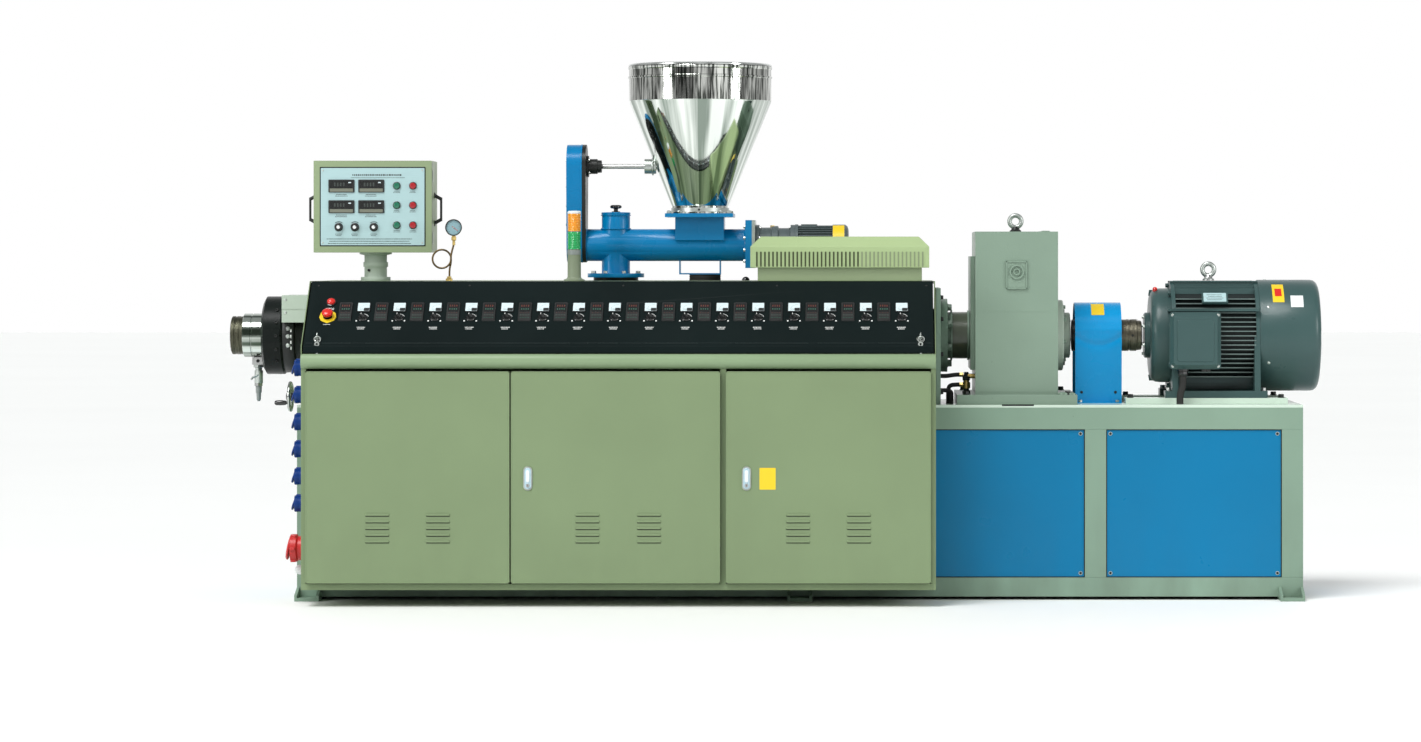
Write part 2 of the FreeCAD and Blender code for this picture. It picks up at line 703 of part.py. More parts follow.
def cabinet_back_and_floor():
    """Floor with its front sill, folded up into the back wall."""
    sheet = box(CABINET_LEFT_X, CABINET_RIGHT_X, CABINET_FRONT_Y, FRAME_FRONT_Y,
                CABINET_BOTTOM, CABINET_BOTTOM + SHEET)
    sill = box(CABINET_LEFT_X, CABINET_RIGHT_X, CABINET_FRONT_Y, CABINET_FRONT_Y + FOLD_DEPTH,
               CABINET_BOTTOM, CABINET_BOTTOM + SILL_HEIGHT)
    back = box(CABINET_LEFT_X, CABINET_RIGHT_X, FRAME_FRONT_Y - SHEET, FRAME_FRONT_Y,
               CABINET_BOTTOM, BAND_BOTTOM)
    return [fuse(sheet, sill, back)]


def cabinet_wall(wall_x, stile_x, stile_width):
    """Upright sheet with a folded stile along its front edge."""
    bottom = CABINET_BOTTOM + SILL_HEIGHT
    stile = box(stile_x, stile_x + stile_width, CABINET_FRONT_Y, CABINET_FRONT_Y + FOLD_DEPTH,
                bottom, BAND_BOTTOM)
    sheet = box(wall_x, wall_x + SHEET, CABINET_FRONT_Y + FOLD_DEPTH, FRAME_FRONT_Y - SHEET,
                CABINET_BOTTOM + SHEET, BAND_BOTTOM)
    return fuse(sheet, stile)


def cabinet_walls():
    right_stile = CABINET_RIGHT_X - STILE_WIDTH
    middle = divider_x()
    return [cabinet_wall(CABINET_LEFT_X, CABINET_LEFT_X, STILE_WIDTH),
            cabinet_wall(middle + (DIVIDER_WIDTH - SHEET) / 2, middle, DIVIDER_WIDTH),
            cabinet_wall(CABINET_RIGHT_X - SHEET, right_stile, STILE_WIDTH)]


def cabinet_band():
    """Rounded band over the doors, with the shelf that closes the cabinet behind it."""
    middle_z = (BAND_BOTTOM + BAND_TOP) / 2
    bottom = Vector(CABINET_LEFT_X, CABINET_FRONT_Y, BAND_BOTTOM)
    bulge = Vector(CABINET_LEFT_X, CABINET_FRONT_Y - BAND_BULGE, middle_z)
    top = Vector(CABINET_LEFT_X, CABINET_FRONT_Y, BAND_TOP)
    inner_top = Vector(CABINET_LEFT_X, CABINET_FRONT_Y + FOLD_DEPTH, BAND_TOP)
    inner_bottom = Vector(CABINET_LEFT_X, CABINET_FRONT_Y + FOLD_DEPTH, BAND_BOTTOM)
    edges = [Part.Arc(bottom, bulge, top).toShape(),
             Part.LineSegment(top, inner_top).toShape(),
             Part.LineSegment(inner_top, inner_bottom).toShape(),
             Part.LineSegment(inner_bottom, bottom).toShape()]
    band = Part.Face(Part.Wire(edges)).extrude(Vector(CABINET_LENGTH, 0, 0))
    shelf = box(CABINET_LEFT_X, CABINET_RIGHT_X, CABINET_FRONT_Y + FOLD_DEPTH, FRAME_FRONT_Y,
                BAND_TOP - SHEET, BAND_TOP)
    rear = box(CABINET_LEFT_X, CABINET_RIGHT_X, FRAME_FRONT_Y - SHEET, FRAME_FRONT_Y,
               BAND_BOTTOM, BAND_TOP)
    ends = []
    for x in (CABINET_LEFT_X, CABINET_RIGHT_X - SHEET):
        ends.append(box(x, x + SHEET, CABINET_FRONT_Y + FOLD_DEPTH, FRAME_FRONT_Y,
                        BAND_BOTTOM, BAND_TOP))
    return [fuse(band, shelf, rear, *ends)]


# ---- doors ---------------------------------------------------------------------------------
def door_spans():
    """Left and right edge of each door, from left to right."""
    right_door = (CABINET_RIGHT_X - STILE_WIDTH - RIGHT_DOOR_WIDTH, CABINET_RIGHT_X - STILE_WIDTH)
    double_left = CABINET_LEFT_X + STILE_WIDTH
    double_right = divider_x()
    seam = double_left + LEFT_DOOR_WIDTH
    return {"left": (double_left, seam),
            "middle": (seam + DOOR_SEAM, double_right),
            "right": right_door}


def hinge_line(name):
    """x and y of a door's hinge pins."""
    left, right = door_spans()[name]
    x = left + DOOR_EDGE_INSET if name == "left" else right - DOOR_EDGE_INSET
    return x, (DOOR_BACK_Y + DOOR_FRONT_Y) / 2


def hinge_heights():
    return (DOOR_BOTTOM + HINGE_END_OFFSET, DOOR_TOP - HINGE_END_OFFSET - HINGE_KNUCKLE_LENGTH)


def hinge_side(name):
    """Direction along x from the hinge pins towards the middle of the door."""
    return 1 if name == "left" else -1


def hinge_notches(name):
    """Gaps in the pan's folded edge that the hinge arms pass through as the door opens."""
    x, y = hinge_line(name)
    outer = x - hinge_side(name) * (DOOR_EDGE_INSET + 1)
    low_x, high_x = sorted((outer, x))
    notches = []
    for bottom in hinge_heights():
        top = bottom + HINGE_KNUCKLE_LENGTH
        reach = HINGE_ARM_HEIGHT + HINGE_PLAY + HINGE_NOTCH_MARGIN
        for low, high in ((bottom - reach, bottom), (top, top + reach)):
            notches.append(box(low_x, high_x, DOOR_FRONT_Y + DOOR_SKIN, DOOR_BACK_Y, low, high))
    return notches


def door_panel(name):
    """Folded pan with tubes along its hinge edge that turn on the pins."""
    left, right = door_spans()[name]
    pan = box(left, right, DOOR_FRONT_Y, DOOR_BACK_Y, DOOR_BOTTOM, DOOR_TOP)
    hollow = box(left + DOOR_SKIN, right - DOOR_SKIN, DOOR_FRONT_Y + DOOR_SKIN, DOOR_BACK_Y,
                 DOOR_BOTTOM + DOOR_SKIN, DOOR_TOP - DOOR_SKIN)
    pan = cut(pan, hollow, *hinge_notches(name))
    x, y = hinge_line(name)
    knuckles = []
    bores = []
    for bottom in hinge_heights():
        top = bottom + HINGE_KNUCKLE_LENGTH
        knuckles.append(rod_z(bottom, top, HINGE_KNUCKLE_RADIUS, x, y))
        bores.append(rod_z(bottom, top, HINGE_PIN_RADIUS + HINGE_CLEARANCE, x, y))
    return cut(fuse(pan, *knuckles), *bores)


def hinge_pin(name, bottom):
    """Pin and the arms that carry it from the stile, above and below the door's knuckle."""
    x, y = hinge_line(name)
    side = hinge_side(name)
    low_x, high_x = sorted((x - side * HINGE_ARM_BACK, x + side * HINGE_ARM_FRONT))
    low_z = bottom - HINGE_PLAY - HINGE_ARM_HEIGHT
    high_z = bottom + HINGE_KNUCKLE_LENGTH + HINGE_PLAY
    pin = rod_z(low_z, high_z + HINGE_ARM_HEIGHT, HINGE_PIN_RADIUS, x, y)
    root_y = CABINET_FRONT_Y + HINGE_ROOT_DEPTH
    root_low, root_high = sorted((x - side * DOOR_EDGE_INSET, x + side * HINGE_ARM_FRONT))
    arms = []
    for low in (low_z, high_z):
        high = low + HINGE_ARM_HEIGHT
        arms.append(box(low_x, high_x, y, CABINET_FRONT_Y, low, high))
        arms.append(box(root_low, root_high, CABINET_FRONT_Y, root_y, low, high))
    return fuse(pin, *arms)


def hinge_pins():
    """The doors' hinge pins and the rod that the fascia turns on."""
    pins = [hinge_pin(name, bottom) for name in door_spans() for bottom in hinge_heights()]
    rod = rod_x(CABINET_LEFT_X, CABINET_RIGHT_X, FASCIA_ROD_RADIUS, FASCIA_HINGE_Y, FASCIA_HINGE_Z)
    return pins + [rod]


def door_lock(name):
    """Flush lever lock: an oval plate standing a little proud of the door."""
    left, right = door_spans()[name]
    inset = LOCK_INSET_MIDDLE if name == "middle" else LOCK_INSET_RIGHT
    plate = box(left + inset, left + inset + LOCK_WIDTH, DOOR_FRONT_Y - LOCK_PROUD, DOOR_FRONT_Y,
                LOCK_BOTTOM, LOCK_BOTTOM + LOCK_HEIGHT)
    return rounded(plate, LOCK_WIDTH / 2 - 1, along(Vector(0, 1, 0)))


# ---- console -------------------------------------------------------------------------------
def fascia_point(down, out):
    """y and z of a point on the fascia, measured down its slope and out from the hinge rod."""
    y = FASCIA_HINGE_Y - down * math.cos(FASCIA_ANGLE) - out * math.sin(FASCIA_ANGLE)
    z = FASCIA_HINGE_Z - down * math.sin(FASCIA_ANGLE) + out * math.cos(FASCIA_ANGLE)
    return y, z


def console_end_plate(x):
    """Side cheek; its front edge stands just proud of the fascia and holds the hinge rod."""
    edge = FASCIA_KNUCKLE_RADIUS + FASCIA_GUARD_EDGE
    bottom_y, bottom_z = fascia_point(FASCIA_LENGTH, edge)
    reach = (fascia_point(0, edge)[1] - CONSOLE_TOP) / math.sin(FASCIA_ANGLE)
    top_y, top_z = fascia_point(reach, edge)
    profile = [(FRAME_FRONT_Y, BAND_TOP), (bottom_y, BAND_TOP), (bottom_y, bottom_z),
               (top_y, top_z), (FRAME_FRONT_Y, CONSOLE_TOP)]
    plate = prism_x(profile, x, x + SHEET)
    hole = rod_x(x, x + SHEET, FASCIA_ROD_RADIUS, FASCIA_HINGE_Y, FASCIA_HINGE_Z)
    return cut(plate, hole)


def barrel_end_sheet():
    """Sheet that closes the left end behind the console, with a hole for the barrel."""
    sheet = box(CABINET_LEFT_X, CABINET_LEFT_X + SHEET, FRAME_FRONT_Y, FRAME_BACK_Y - SHEET,
                DECK_HEIGHT, CONSOLE_TOP)
    hole = rod_x(CABINET_LEFT_X, CABINET_LEFT_X + SHEET, BARREL_RADIUS + BARREL_HOLE_GAP)
    return cut(sheet, hole)


def end_covers():
    left = fuse(console_end_plate(CABINET_LEFT_X), barrel_end_sheet())
    right = console_end_plate(CABINET_RIGHT_X - SHEET)
    return [left, right]


def controller_places():
    return [CABINET_LEFT_X + CONTROLLER_X + index * CONTROL_PITCH for index in range(CONTROL_PAIRS)]


def meter_places():
    return [x + CONTROL_PITCH / 2 for x in controller_places()]


def device(x, down, width, height, depth, radius=0.0):
    """Panel instrument: a bezel on the face and a body behind it, as one solid."""
    face = FASCIA_KNUCKLE_RADIUS
    bezel = centred_box(0, -down, face, width, height, BEZEL_PROUD)
    body = centred_box(0, -down, face - depth, width - 2 * BEZEL_LAP, height - 2 * BEZEL_LAP, depth)
    return on_fascia(fuse(bezel, body), x)


def device_cutout(x, down, width, height):
    margin = 2 * (BEZEL_LAP - CUTOUT_CLEARANCE)
    opening = centred_box(0, -down, 0, width - margin, height - margin, 2 * FASCIA_KNUCKLE_RADIUS)
    return on_fascia(opening, x)


def round_cutout(x, down, radius):
    hole = rod_z(-FASCIA_KNUCKLE_RADIUS, 3 * FASCIA_KNUCKLE_RADIUS, radius, 0, -down)
    return on_fascia(hole, x)


def stop_x():
    return CABINET_LEFT_X + STOP_X


def key_places():
    return [CABINET_LEFT_X + KEY_INSET, CABINET_RIGHT_X - KEY_INSET]


def fascia_panel():
    face = FASCIA_KNUCKLE_RADIUS
    sheet = box(0, FASCIA_RIGHT_X - FASCIA_LEFT_X, -FASCIA_LENGTH, 0, face - FASCIA_SHEET, face)
    sheet = on_fascia(sheet, FASCIA_LEFT_X)
    knuckle = rod_x(FASCIA_LEFT_X, FASCIA_RIGHT_X, face, FASCIA_HINGE_Y, FASCIA_HINGE_Z)
    lip_y, lip_top = fascia_point(FASCIA_LENGTH, face)
    lip_bottom = BAND_TOP + FASCIA_LIP_GAP
    lip = box(FASCIA_LEFT_X, FASCIA_RIGHT_X, lip_y, lip_y + FASCIA_SHEET, lip_bottom, lip_top)
    bore = rod_x(FASCIA_LEFT_X, FASCIA_RIGHT_X, FASCIA_ROD_RADIUS + HINGE_CLEARANCE,
                 FASCIA_HINGE_Y, FASCIA_HINGE_Z)
    holes = [device_cutout(x, CONTROLLER_DOWN, CONTROLLER_WIDTH, CONTROLLER_HEIGHT)
             for x in controller_places()]
    for x in meter_places():
        holes.append(device_cutout(x, METER_DOWN, METER_SIZE, METER_SIZE))
        holes.append(round_cutout(x, SWITCH_DOWN, SWITCH_SHAFT_RADIUS))
    holes.append(round_cutout(stop_x(), STOP_DOWN, STOP_STEM_RADIUS + STOP_STEM_CLEARANCE))
    return cut(fuse(sheet, knuckle, lip), bore, *holes)


def temperature_controllers():
    return [device(x, CONTROLLER_DOWN, CONTROLLER_WIDTH, CONTROLLER_HEIGHT, CONTROLLER_DEPTH)
            for x in controller_places()]


def ammeters():
    return [device(x, METER_DOWN, METER_SIZE, METER_SIZE, METER_DEPTH) for x in meter_places()]


def selector_switch(x):
    face = FASCIA_KNUCKLE_RADIUS
    inner = face - FASCIA_SHEET
    rose = rod_z(face, face + BEZEL_PROUD, SWITCH_RADIUS, 0, -SWITCH_DOWN)
    grip = centred_box(0, -SWITCH_DOWN, face + BEZEL_PROUD, SWITCH_RADIUS / 2,
                       2 * SWITCH_RADIUS - BEZEL_PROUD, 2 * BEZEL_PROUD)
    shaft = rod_z(inner, face, SWITCH_SHAFT_RADIUS, 0, -SWITCH_DOWN)
    block = centred_box(0, -SWITCH_DOWN, inner - SWITCH_DEPTH, SWITCH_BLOCK, SWITCH_BLOCK,
                        SWITCH_DEPTH)
    return on_fascia(fuse(rose, grip, shaft, block), x)


def selector_switches():
    return [selector_switch(x) for x in meter_places()]


def alarm_lamp():
    face = FASCIA_KNUCKLE_RADIUS
    lens = Part.makeCone(ALARM_LAMP_RADIUS, ALARM_LAMP_RADIUS - BEZEL_PROUD, 2 * BEZEL_PROUD,
                         Vector(0, -ALARM_LAMP_DOWN, face))
    return [on_fascia(lens, CABINET_LEFT_X + ALARM_LAMP_X)]


def fascia_instruments():
    return ammeters() + selector_switches() + alarm_lamp() + stop_plate() + fascia_keys()


def stop_plate():
    """Yellow plate and collar around the emergency stop's stem."""
    face = FASCIA_KNUCKLE_RADIUS
    plate = centred_box(0, -STOP_DOWN, face, STOP_PLATE_WIDTH, STOP_PLATE_LENGTH,
                        STOP_PLATE_THICKNESS)
    plate = rounded(plate, STOP_PLATE_WIDTH / 6, along(Vector(0, 0, 1)))
    top = face + STOP_PLATE_THICKNESS
    collar = rod_z(top, top + STOP_COLLAR_HEIGHT, STOP_COLLAR_RADIUS, 0, -STOP_DOWN)
    bore = rod_z(face, top + STOP_COLLAR_HEIGHT, STOP_STEM_RADIUS + STOP_STEM_CLEARANCE,
                 0, -STOP_DOWN)
    return [on_fascia(cut(fuse(plate, collar), bore), stop_x())]


def stop_button():
    """Mushroom head on a stem that slides through the plate and the fascia."""
    head_bottom = (FASCIA_KNUCKLE_RADIUS + STOP_PLATE_THICKNESS + STOP_COLLAR_HEIGHT
                   + STOP_HEAD_GAP)
    head = turned_z([(0, head_bottom), (STOP_HEAD_RADIUS, head_bottom),
                     (STOP_HEAD_RADIUS, head_bottom + STOP_HEAD_HEIGHT / 2),
                     (STOP_HEAD_CROWN_RADIUS, head_bottom + STOP_HEAD_HEIGHT),
                     (0, head_bottom + STOP_HEAD_HEIGHT)], 0, -STOP_DOWN)
    stem = rod_z(head_bottom - STOP_STEM_LENGTH, head_bottom, STOP_STEM_RADIUS, 0, -STOP_DOWN)
    return [on_fascia(fuse(head, stem), stop_x())]


def fascia_keys():
    face = FASCIA_KNUCKLE_RADIUS
    keys = []
    for x in key_places():
        barrel = rod_z(face, face + KEY_BARREL_PROUD, KEY_BARREL_RADIUS, 0, -KEY_DOWN)
        blade = centred_box(0, -KEY_DOWN, face + KEY_BARREL_PROUD, KEY_BLADE_THICKNESS,
                            KEY_BLADE_WIDTH, KEY_BLADE_LENGTH)
        keys.append(on_fascia(fuse(barrel, blade), x))
    return keys


def top_cover():
    front_y = FASCIA_HINGE_Y + FASCIA_KNUCKLE_RADIUS + TOP_COVER_GAP
    return [box(CABINET_LEFT_X + SHEET, CABINET_RIGHT_X - SHEET, front_y, FRAME_BACK_Y,
                CONSOLE_TOP - SHEET, CONSOLE_TOP)]


def rear_cover():
    return [box(CABINET_LEFT_X, CABINET_RIGHT_X, FRAME_BACK_Y - SHEET, FRAME_BACK_Y,
                DECK_HEIGHT, CONSOLE_TOP - SHEET)]


# ---- barrel and melt head ------------------------------------------------------------------
def nose_end_x():
    return HEAD_TIP_X + NOSE_LENGTH


def ring_start_x():
    return nose_end_x() + ADAPTOR_LENGTH


def ring_end_x():
    return ring_start_x() + HEATER_RING_LENGTH


def adaptor_nose():
    nose = rod_x(HEAD_TIP_X, nose_end_x(), NOSE_RADIUS)
    return [cut(nose, rod_x(HEAD_TIP_X, nose_end_x(), OUTLET_RADIUS))]


def die_adaptor():
    """Polished adaptor between the nose and the barrel; the heater ring sits around its root."""
    body = rod_x(nose_end_x(), ring_end_x(), ADAPTOR_RADIUS)
    return [cut(body, rod_x(nose_end_x(), ring_end_x(), OUTLET_RADIUS))]


def head_heater_ring():
    """Two clamped halves around the adaptor, split at the height of the axis."""
    start = ring_start_x()
    end = ring_end_x()
    inner = ADAPTOR_RADIUS + CURVED_GAP
    ring = turned_x([(start, inner), (start, HEATER_RING_RADIUS - 2 * HEATER_RING_CHAMFER),
                     (start + HEATER_RING_CHAMFER, HEATER_RING_RADIUS),
                     (end, HEATER_RING_RADIUS), (end, inner)])
    reach = 2 * HEATER_RING_RADIUS
    slot = box(start, end, -reach, reach, AXIS_HEIGHT - HEATER_RING_HALF_GAP,
               AXIS_HEIGHT + HEATER_RING_HALF_GAP)
    return cut(ring, slot).Solids


def barrel():
    """Barrel with the flange that carries the adaptor, as far as the bearing wall."""
    start = ring_end_x()
    flange = rod_x(start, start + BARREL_FLANGE_LENGTH, BARREL_FLANGE_RADIUS)
    tube = rod_x(start, BEARING_WALL_X, BARREL_RADIUS)
    return [fuse(flange, tube)]


def barrel_end_hood():
    """Sheet hood over the barrel's flange, open to the flange and fixed to the end cover."""
    x0 = CABINET_LEFT_X - END_HOOD_LENGTH
    half = END_HOOD_WIDTH / 2
    hood = box(x0, CABINET_LEFT_X, -half, half, END_HOOD_BOTTOM, END_HOOD_TOP)
    hollow = rod_x(x0, CABINET_LEFT_X, BARREL_FLANGE_RADIUS + END_HOOD_CLEARANCE)
    return [cut(hood, hollow)]


def head_sensor():
    """Melt sensor that hangs from a block under the adaptor."""
    x = HEAD_TIP_X + SENSOR_X_OFFSET
    half = SENSOR_BLOCK_WIDTH / 2
    top = AXIS_HEIGHT - ADAPTOR_RADIUS + SENSOR_DEPTH
    block = box(x - half, x + half, -half, half, SENSOR_BLOCK_BOTTOM, top)
    block = cut(block, rod_x(x - half, x + half, ADAPTOR_RADIUS + CURVED_GAP))
    body = rod_z(SENSOR_BODY_BOTTOM, SENSOR_BLOCK_BOTTOM, SENSOR_BODY_RADIUS, x, 0)
    tip = rod_z(SENSOR_TIP_BOTTOM, SENSOR_BODY_BOTTOM, SENSOR_TIP_RADIUS, x, 0)
    return [fuse(block, body, tip)]


# ---- drive train ---------------------------------------------------------------------------
def transfer_housing():
    """Wall that carries the barrel, with the flanged sleeve that leads to the gearbox."""
    half = BEARING_WALL_WIDTH / 2
    wall = box(BEARING_WALL_X, FLANGE_X, -half, half, DECK_HEIGHT, BEARING_WALL_TOP)
    flange = rod_x(FLANGE_X, SLEEVE_X, TRANSFER_FLANGE_RADIUS)
    sleeve = rod_x(SLEEVE_X, GEARBOX_X - GEARBOX_PLATE_THICKNESS, SLEEVE_RADIUS)
    return [fuse(wall, flange, sleeve)]


def gearbox_end_plate():
    half = GEARBOX_PLATE_WIDTH / 2
    return box(GEARBOX_X - GEARBOX_PLATE_THICKNESS, GEARBOX_X, -half, half,
               GEARBOX_PLATE_BOTTOM, GEARBOX_PLATE_TOP)


def gearbox_housing():
    half = GEARBOX_WIDTH / 2
    foot_half = GEARBOX_FOOT_WIDTH / 2
    body = box(GEARBOX_X, GEARBOX_CAP_X, -half, half, DECK_HEIGHT, GEARBOX_TOP)
    foot = box(GEARBOX_X - GEARBOX_FOOT_LEFT, GEARBOX_CAP_X + GEARBOX_FOOT_RIGHT,
               -foot_half, foot_half, DECK_HEIGHT, DECK_HEIGHT + GEARBOX_FOOT_THICKNESS)
    return [fuse(body, foot)]


def gearbox_shaft_cap():
    """Flanged cap around the input shaft on the motor side."""
    face = GEARBOX_CAP_X + GEARBOX_CAP_THICKNESS
    plate = rod_x(GEARBOX_CAP_X, face, GEARBOX_CAP_RADIUS)
    neck = rod_x(face, NECK_END_X, GEARBOX_NECK_RADIUS)
    bore = rod_x(NECK_END_X - GEARBOX_BORE_DEPTH, NECK_END_X, SHAFT_RADIUS + SHAFT_CLEARANCE)
    return cut(fuse(plate, neck), bore)


def gearbox_badge():
    x = GEARBOX_X + GEARBOX_LENGTH / 2
    front = -GEARBOX_WIDTH / 2
    return box(x - BADGE_WIDTH / 2, x + BADGE_WIDTH / 2, front - BADGE_PROUD, front,
               BADGE_BOTTOM, BADGE_TOP)


def gearbox_covers():
    return [gearbox_end_plate(), gearbox_shaft_cap(), gearbox_badge()]


def eyebolt(x, seat_z):
    """Lifting eye: a ring on a short collar."""
    centre_z = seat_z + EYEBOLT_RING_RADIUS + 2 * EYEBOLT_BAR_RADIUS
    ring = Part.makeTorus(EYEBOLT_RING_RADIUS, EYEBOLT_BAR_RADIUS, Vector(x, 0, centre_z),
                          Vector(0, 1, 0))
    collar = rod_z(seat_z, seat_z + 2 * EYEBOLT_BAR_RADIUS, EYEBOLT_SHANK_RADIUS, x, 0)
    return fuse(ring, collar)


def lifting_eyes():
    return [eyebolt(GEARBOX_X + GEARBOX_EYE_X, GEARBOX_TOP),
            eyebolt(MOTOR_X + MOTOR_EYE_X, AXIS_HEIGHT + MOTOR_FRAME_RADIUS)]


def coupling_disc_x():
    return COUPLING_X + COUPLING_HUB_LENGTH


def drive_coupling():
    """Both shaft ends with their hubs and pin discs, joined by the coupling pins."""
    left_disc = coupling_disc_x()
    right_disc = left_disc + COUPLING_DISC_LENGTH + COUPLING_DISC_GAP
    right_hub = right_disc + COUPLING_DISC_LENGTH
    right_end = right_hub + COUPLING_HUB_LENGTH
    pieces = [rod_x(NECK_END_X - GEARBOX_BORE_DEPTH + COUPLING_DISC_GAP, COUPLING_X, SHAFT_RADIUS),
              rod_x(COUPLING_X, left_disc, COUPLING_HUB_RADIUS),
              rod_x(left_disc, left_disc + COUPLING_DISC_LENGTH, COUPLING_DISC_RADIUS),
              rod_x(right_disc, right_hub, COUPLING_DISC_RADIUS),
              rod_x(right_hub, right_end, COUPLING_HUB_RADIUS),
              rod_x(right_end, MOTOR_X + MOTOR_CAP_LENGTH - COUPLING_DISC_GAP, SHAFT_RADIUS)]
    for index in range(COUPLING_PINS):
        angle = 2 * math.pi * index / COUPLING_PINS
        y = COUPLING_PIN_CIRCLE / 2 * math.cos(angle)
        z = AXIS_HEIGHT + COUPLING_PIN_CIRCLE / 2 * math.sin(angle)
        pieces.append(rod_x(right_disc - COUPLING_DISC_GAP, right_disc, COUPLING_PIN_RADIUS, y, z))
    return [fuse(*pieces)]


def guard_profile(radius):
    """Half-round arch on two straight legs, as a filled face in the plane of the guard's end."""
    left_foot = Vector(GUARD_X, -radius, DECK_HEIGHT)
    left_top = Vector(GUARD_X, -radius, AXIS_HEIGHT)
    crown = Vector(GUARD_X, 0, AXIS_HEIGHT + radius)
    right_top = Vector(GUARD_X, radius, AXIS_HEIGHT)
    right_foot = Vector(GUARD_X, radius, DECK_HEIGHT)
    edges = [Part.LineSegment(left_foot, left_top).toShape(),
             Part.Arc(left_top, crown, right_top).toShape(),
             Part.LineSegment(right_top, right_foot).toShape(),
             Part.LineSegment(right_foot, left_foot).toShape()]
    return Part.Face(Part.Wire(edges))


def coupling_guard():
    along_x = Vector(GUARD_LENGTH, 0, 0)
    shell = guard_profile(GUARD_RADIUS).extrude(along_x)
    hollow = guard_profile(GUARD_RADIUS - GUARD_SHEET).extrude(along_x)
    feet = []
    for side in (-1, 1):
        low, high = sorted((side * GUARD_RADIUS, side * (GUARD_RADIUS + GUARD_FOOT)))
        feet.append(box(GUARD_X, GUARD_X + GUARD_LENGTH, low, high,
                        DECK_HEIGHT, DECK_HEIGHT + GUARD_SHEET))
    return [fuse(cut(shell, hollow), *feet)]


# ---- main motor ----------------------------------------------------------------------------
def motor_bell_x():
    return MOTOR_X + MOTOR_CAP_LENGTH


def motor_frame_x():
    return motor_bell_x() + MOTOR_BELL_LENGTH


def motor_cowl_x():
    return motor_frame_x() + MOTOR_FRAME_LENGTH


def motor_end_bell():
    """Drive-end bell with its bearing cap and the bore that the shaft turns in."""
    cap = rod_x(MOTOR_X, motor_bell_x(), MOTOR_CAP_RADIUS)
    bell = turned_x([(motor_bell_x(), 0), (motor_bell_x(), MOTOR_BELL_RADIUS - MOTOR_COWL_ROUND),
                     (motor_bell_x() + MOTOR_COWL_ROUND, MOTOR_BELL_RADIUS),
                     (motor_frame_x(), MOTOR_BELL_RADIUS), (motor_frame_x(), 0)])
    bore = rod_x(MOTOR_X, motor_bell_x(), SHAFT_RADIUS + SHAFT_CLEARANCE)
    return cut(fuse(cap, bell), bore)


def motor_feet():
    """Two foot bars with the webs that carry the frame on them."""
    bottom = DECK_HEIGHT + SLIDE_RAIL_THICKNESS
    x0 = motor_frame_x() - MOTOR_FOOT_THICKNESS
    x1 = motor_cowl_x() + MOTOR_FOOT_THICKNESS
    feet = []
    for side in (-1, 1):
        outer = side * MOTOR_FOOT_SPAN / 2
        low, high = sorted((outer, outer - side * MOTOR_FOOT_WIDTH))
        feet.append(box(x0, x1, low, high, bottom, bottom + MOTOR_FOOT_THICKNESS))
        for web_x in (motor_frame_x(), motor_cowl_x() - MOTOR_WEB_THICKNESS):
            feet.append(box(web_x, web_x + MOTOR_WEB_THICKNESS, low, high, bottom, AXIS_HEIGHT))
    return feet


def motor_frame():
    """Round frame cast in one with its feet, and the end bell bolted to it."""
    frame = rod_x(motor_frame_x(), motor_cowl_x(), MOTOR_FRAME_RADIUS)
    return [fuse(frame, motor_end_bell(), *motor_feet())]


def motor_cowl():
    end = MOTOR_END_X
    return [turned_x([(motor_cowl_x(), 0), (motor_cowl_x(), MOTOR_COWL_RADIUS),
                      (end - MOTOR_COWL_ROUND, MOTOR_COWL_RADIUS),
                      (end, MOTOR_COWL_RADIUS - MOTOR_COWL_ROUND), (end, 0)])]


def motor_terminal_box():
    """Box on the operator's side of the frame, carried by the web of the foot."""
    x0 = motor_frame_x() - TERMINAL_BOX_LEAD
    x1 = x0 + TERMINAL_BOX_LENGTH
    case = box(x0, x1, -TERMINAL_BOX_REACH, -MOTOR_FOOT_SPAN / 2,
               TERMINAL_BOX_BOTTOM, TERMINAL_BOX_TOP)
    gland = rod_z(TERMINAL_BOX_BOTTOM - GLAND_LENGTH, TERMINAL_BOX_BOTTOM, GLAND_RADIUS,
                  cable_x(), CABLE_Y)
    return [fuse(case, gland)]


def motor_slide_rails():
    x0 = MOTOR_X + SLIDE_RAIL_X
    rails = []
    for side in (-1, 1):
        y = side * (MOTOR_FOOT_SPAN - MOTOR_FOOT_WIDTH) / 2
        rails.append(box(x0, x0 + SLIDE_RAIL_LENGTH, y - SLIDE_RAIL_WIDTH / 2,
                         y + SLIDE_RAIL_WIDTH / 2, DECK_HEIGHT, DECK_HEIGHT + SLIDE_RAIL_THICKNESS))
    return rails


def cable_x():
    return motor_frame_x() - TERMINAL_BOX_LEAD + CABLE_X


def motor_cable():
    """Supply cable from the gland under the terminal box to the deck."""
    x = cable_x()
    top = TERMINAL_BOX_BOTTOM - GLAND_LENGTH - CURVED_GAP
    foot_x = x - CABLE_SIDESTEP
    middle_z = (top + DECK_HEIGHT) / 2
    points = [Vector(x, CABLE_Y, top), Vector(x, CABLE_Y, middle_z + CABLE_SLANT_HALF),
              Vector(foot_x, CABLE_Y, middle_z - CABLE_SLANT_HALF),
              Vector(foot_x, CABLE_Y, DECK_HEIGHT + CURVED_GAP)]
    return bent_tube(points, CABLE_RADIUS)


# ---- gearbox oil line ----------------------------------------------------------------------
def oil_valve():
    """Valve body on the gearbox foot with the nipple into the housing."""
    x = GEARBOX_X + VALVE_X
    seat = DECK_HEIGHT + GEARBOX_FOOT_THICKNESS
    body = rod_z(seat, seat + VALVE_HEIGHT, VALVE_RADIUS, x, HOSE_Y)
    nipple = rod_x(x, GEARBOX_X, NIPPLE_RADIUS, HOSE_Y, seat + NIPPLE_HEIGHT)
    return [fuse(body, nipple)]


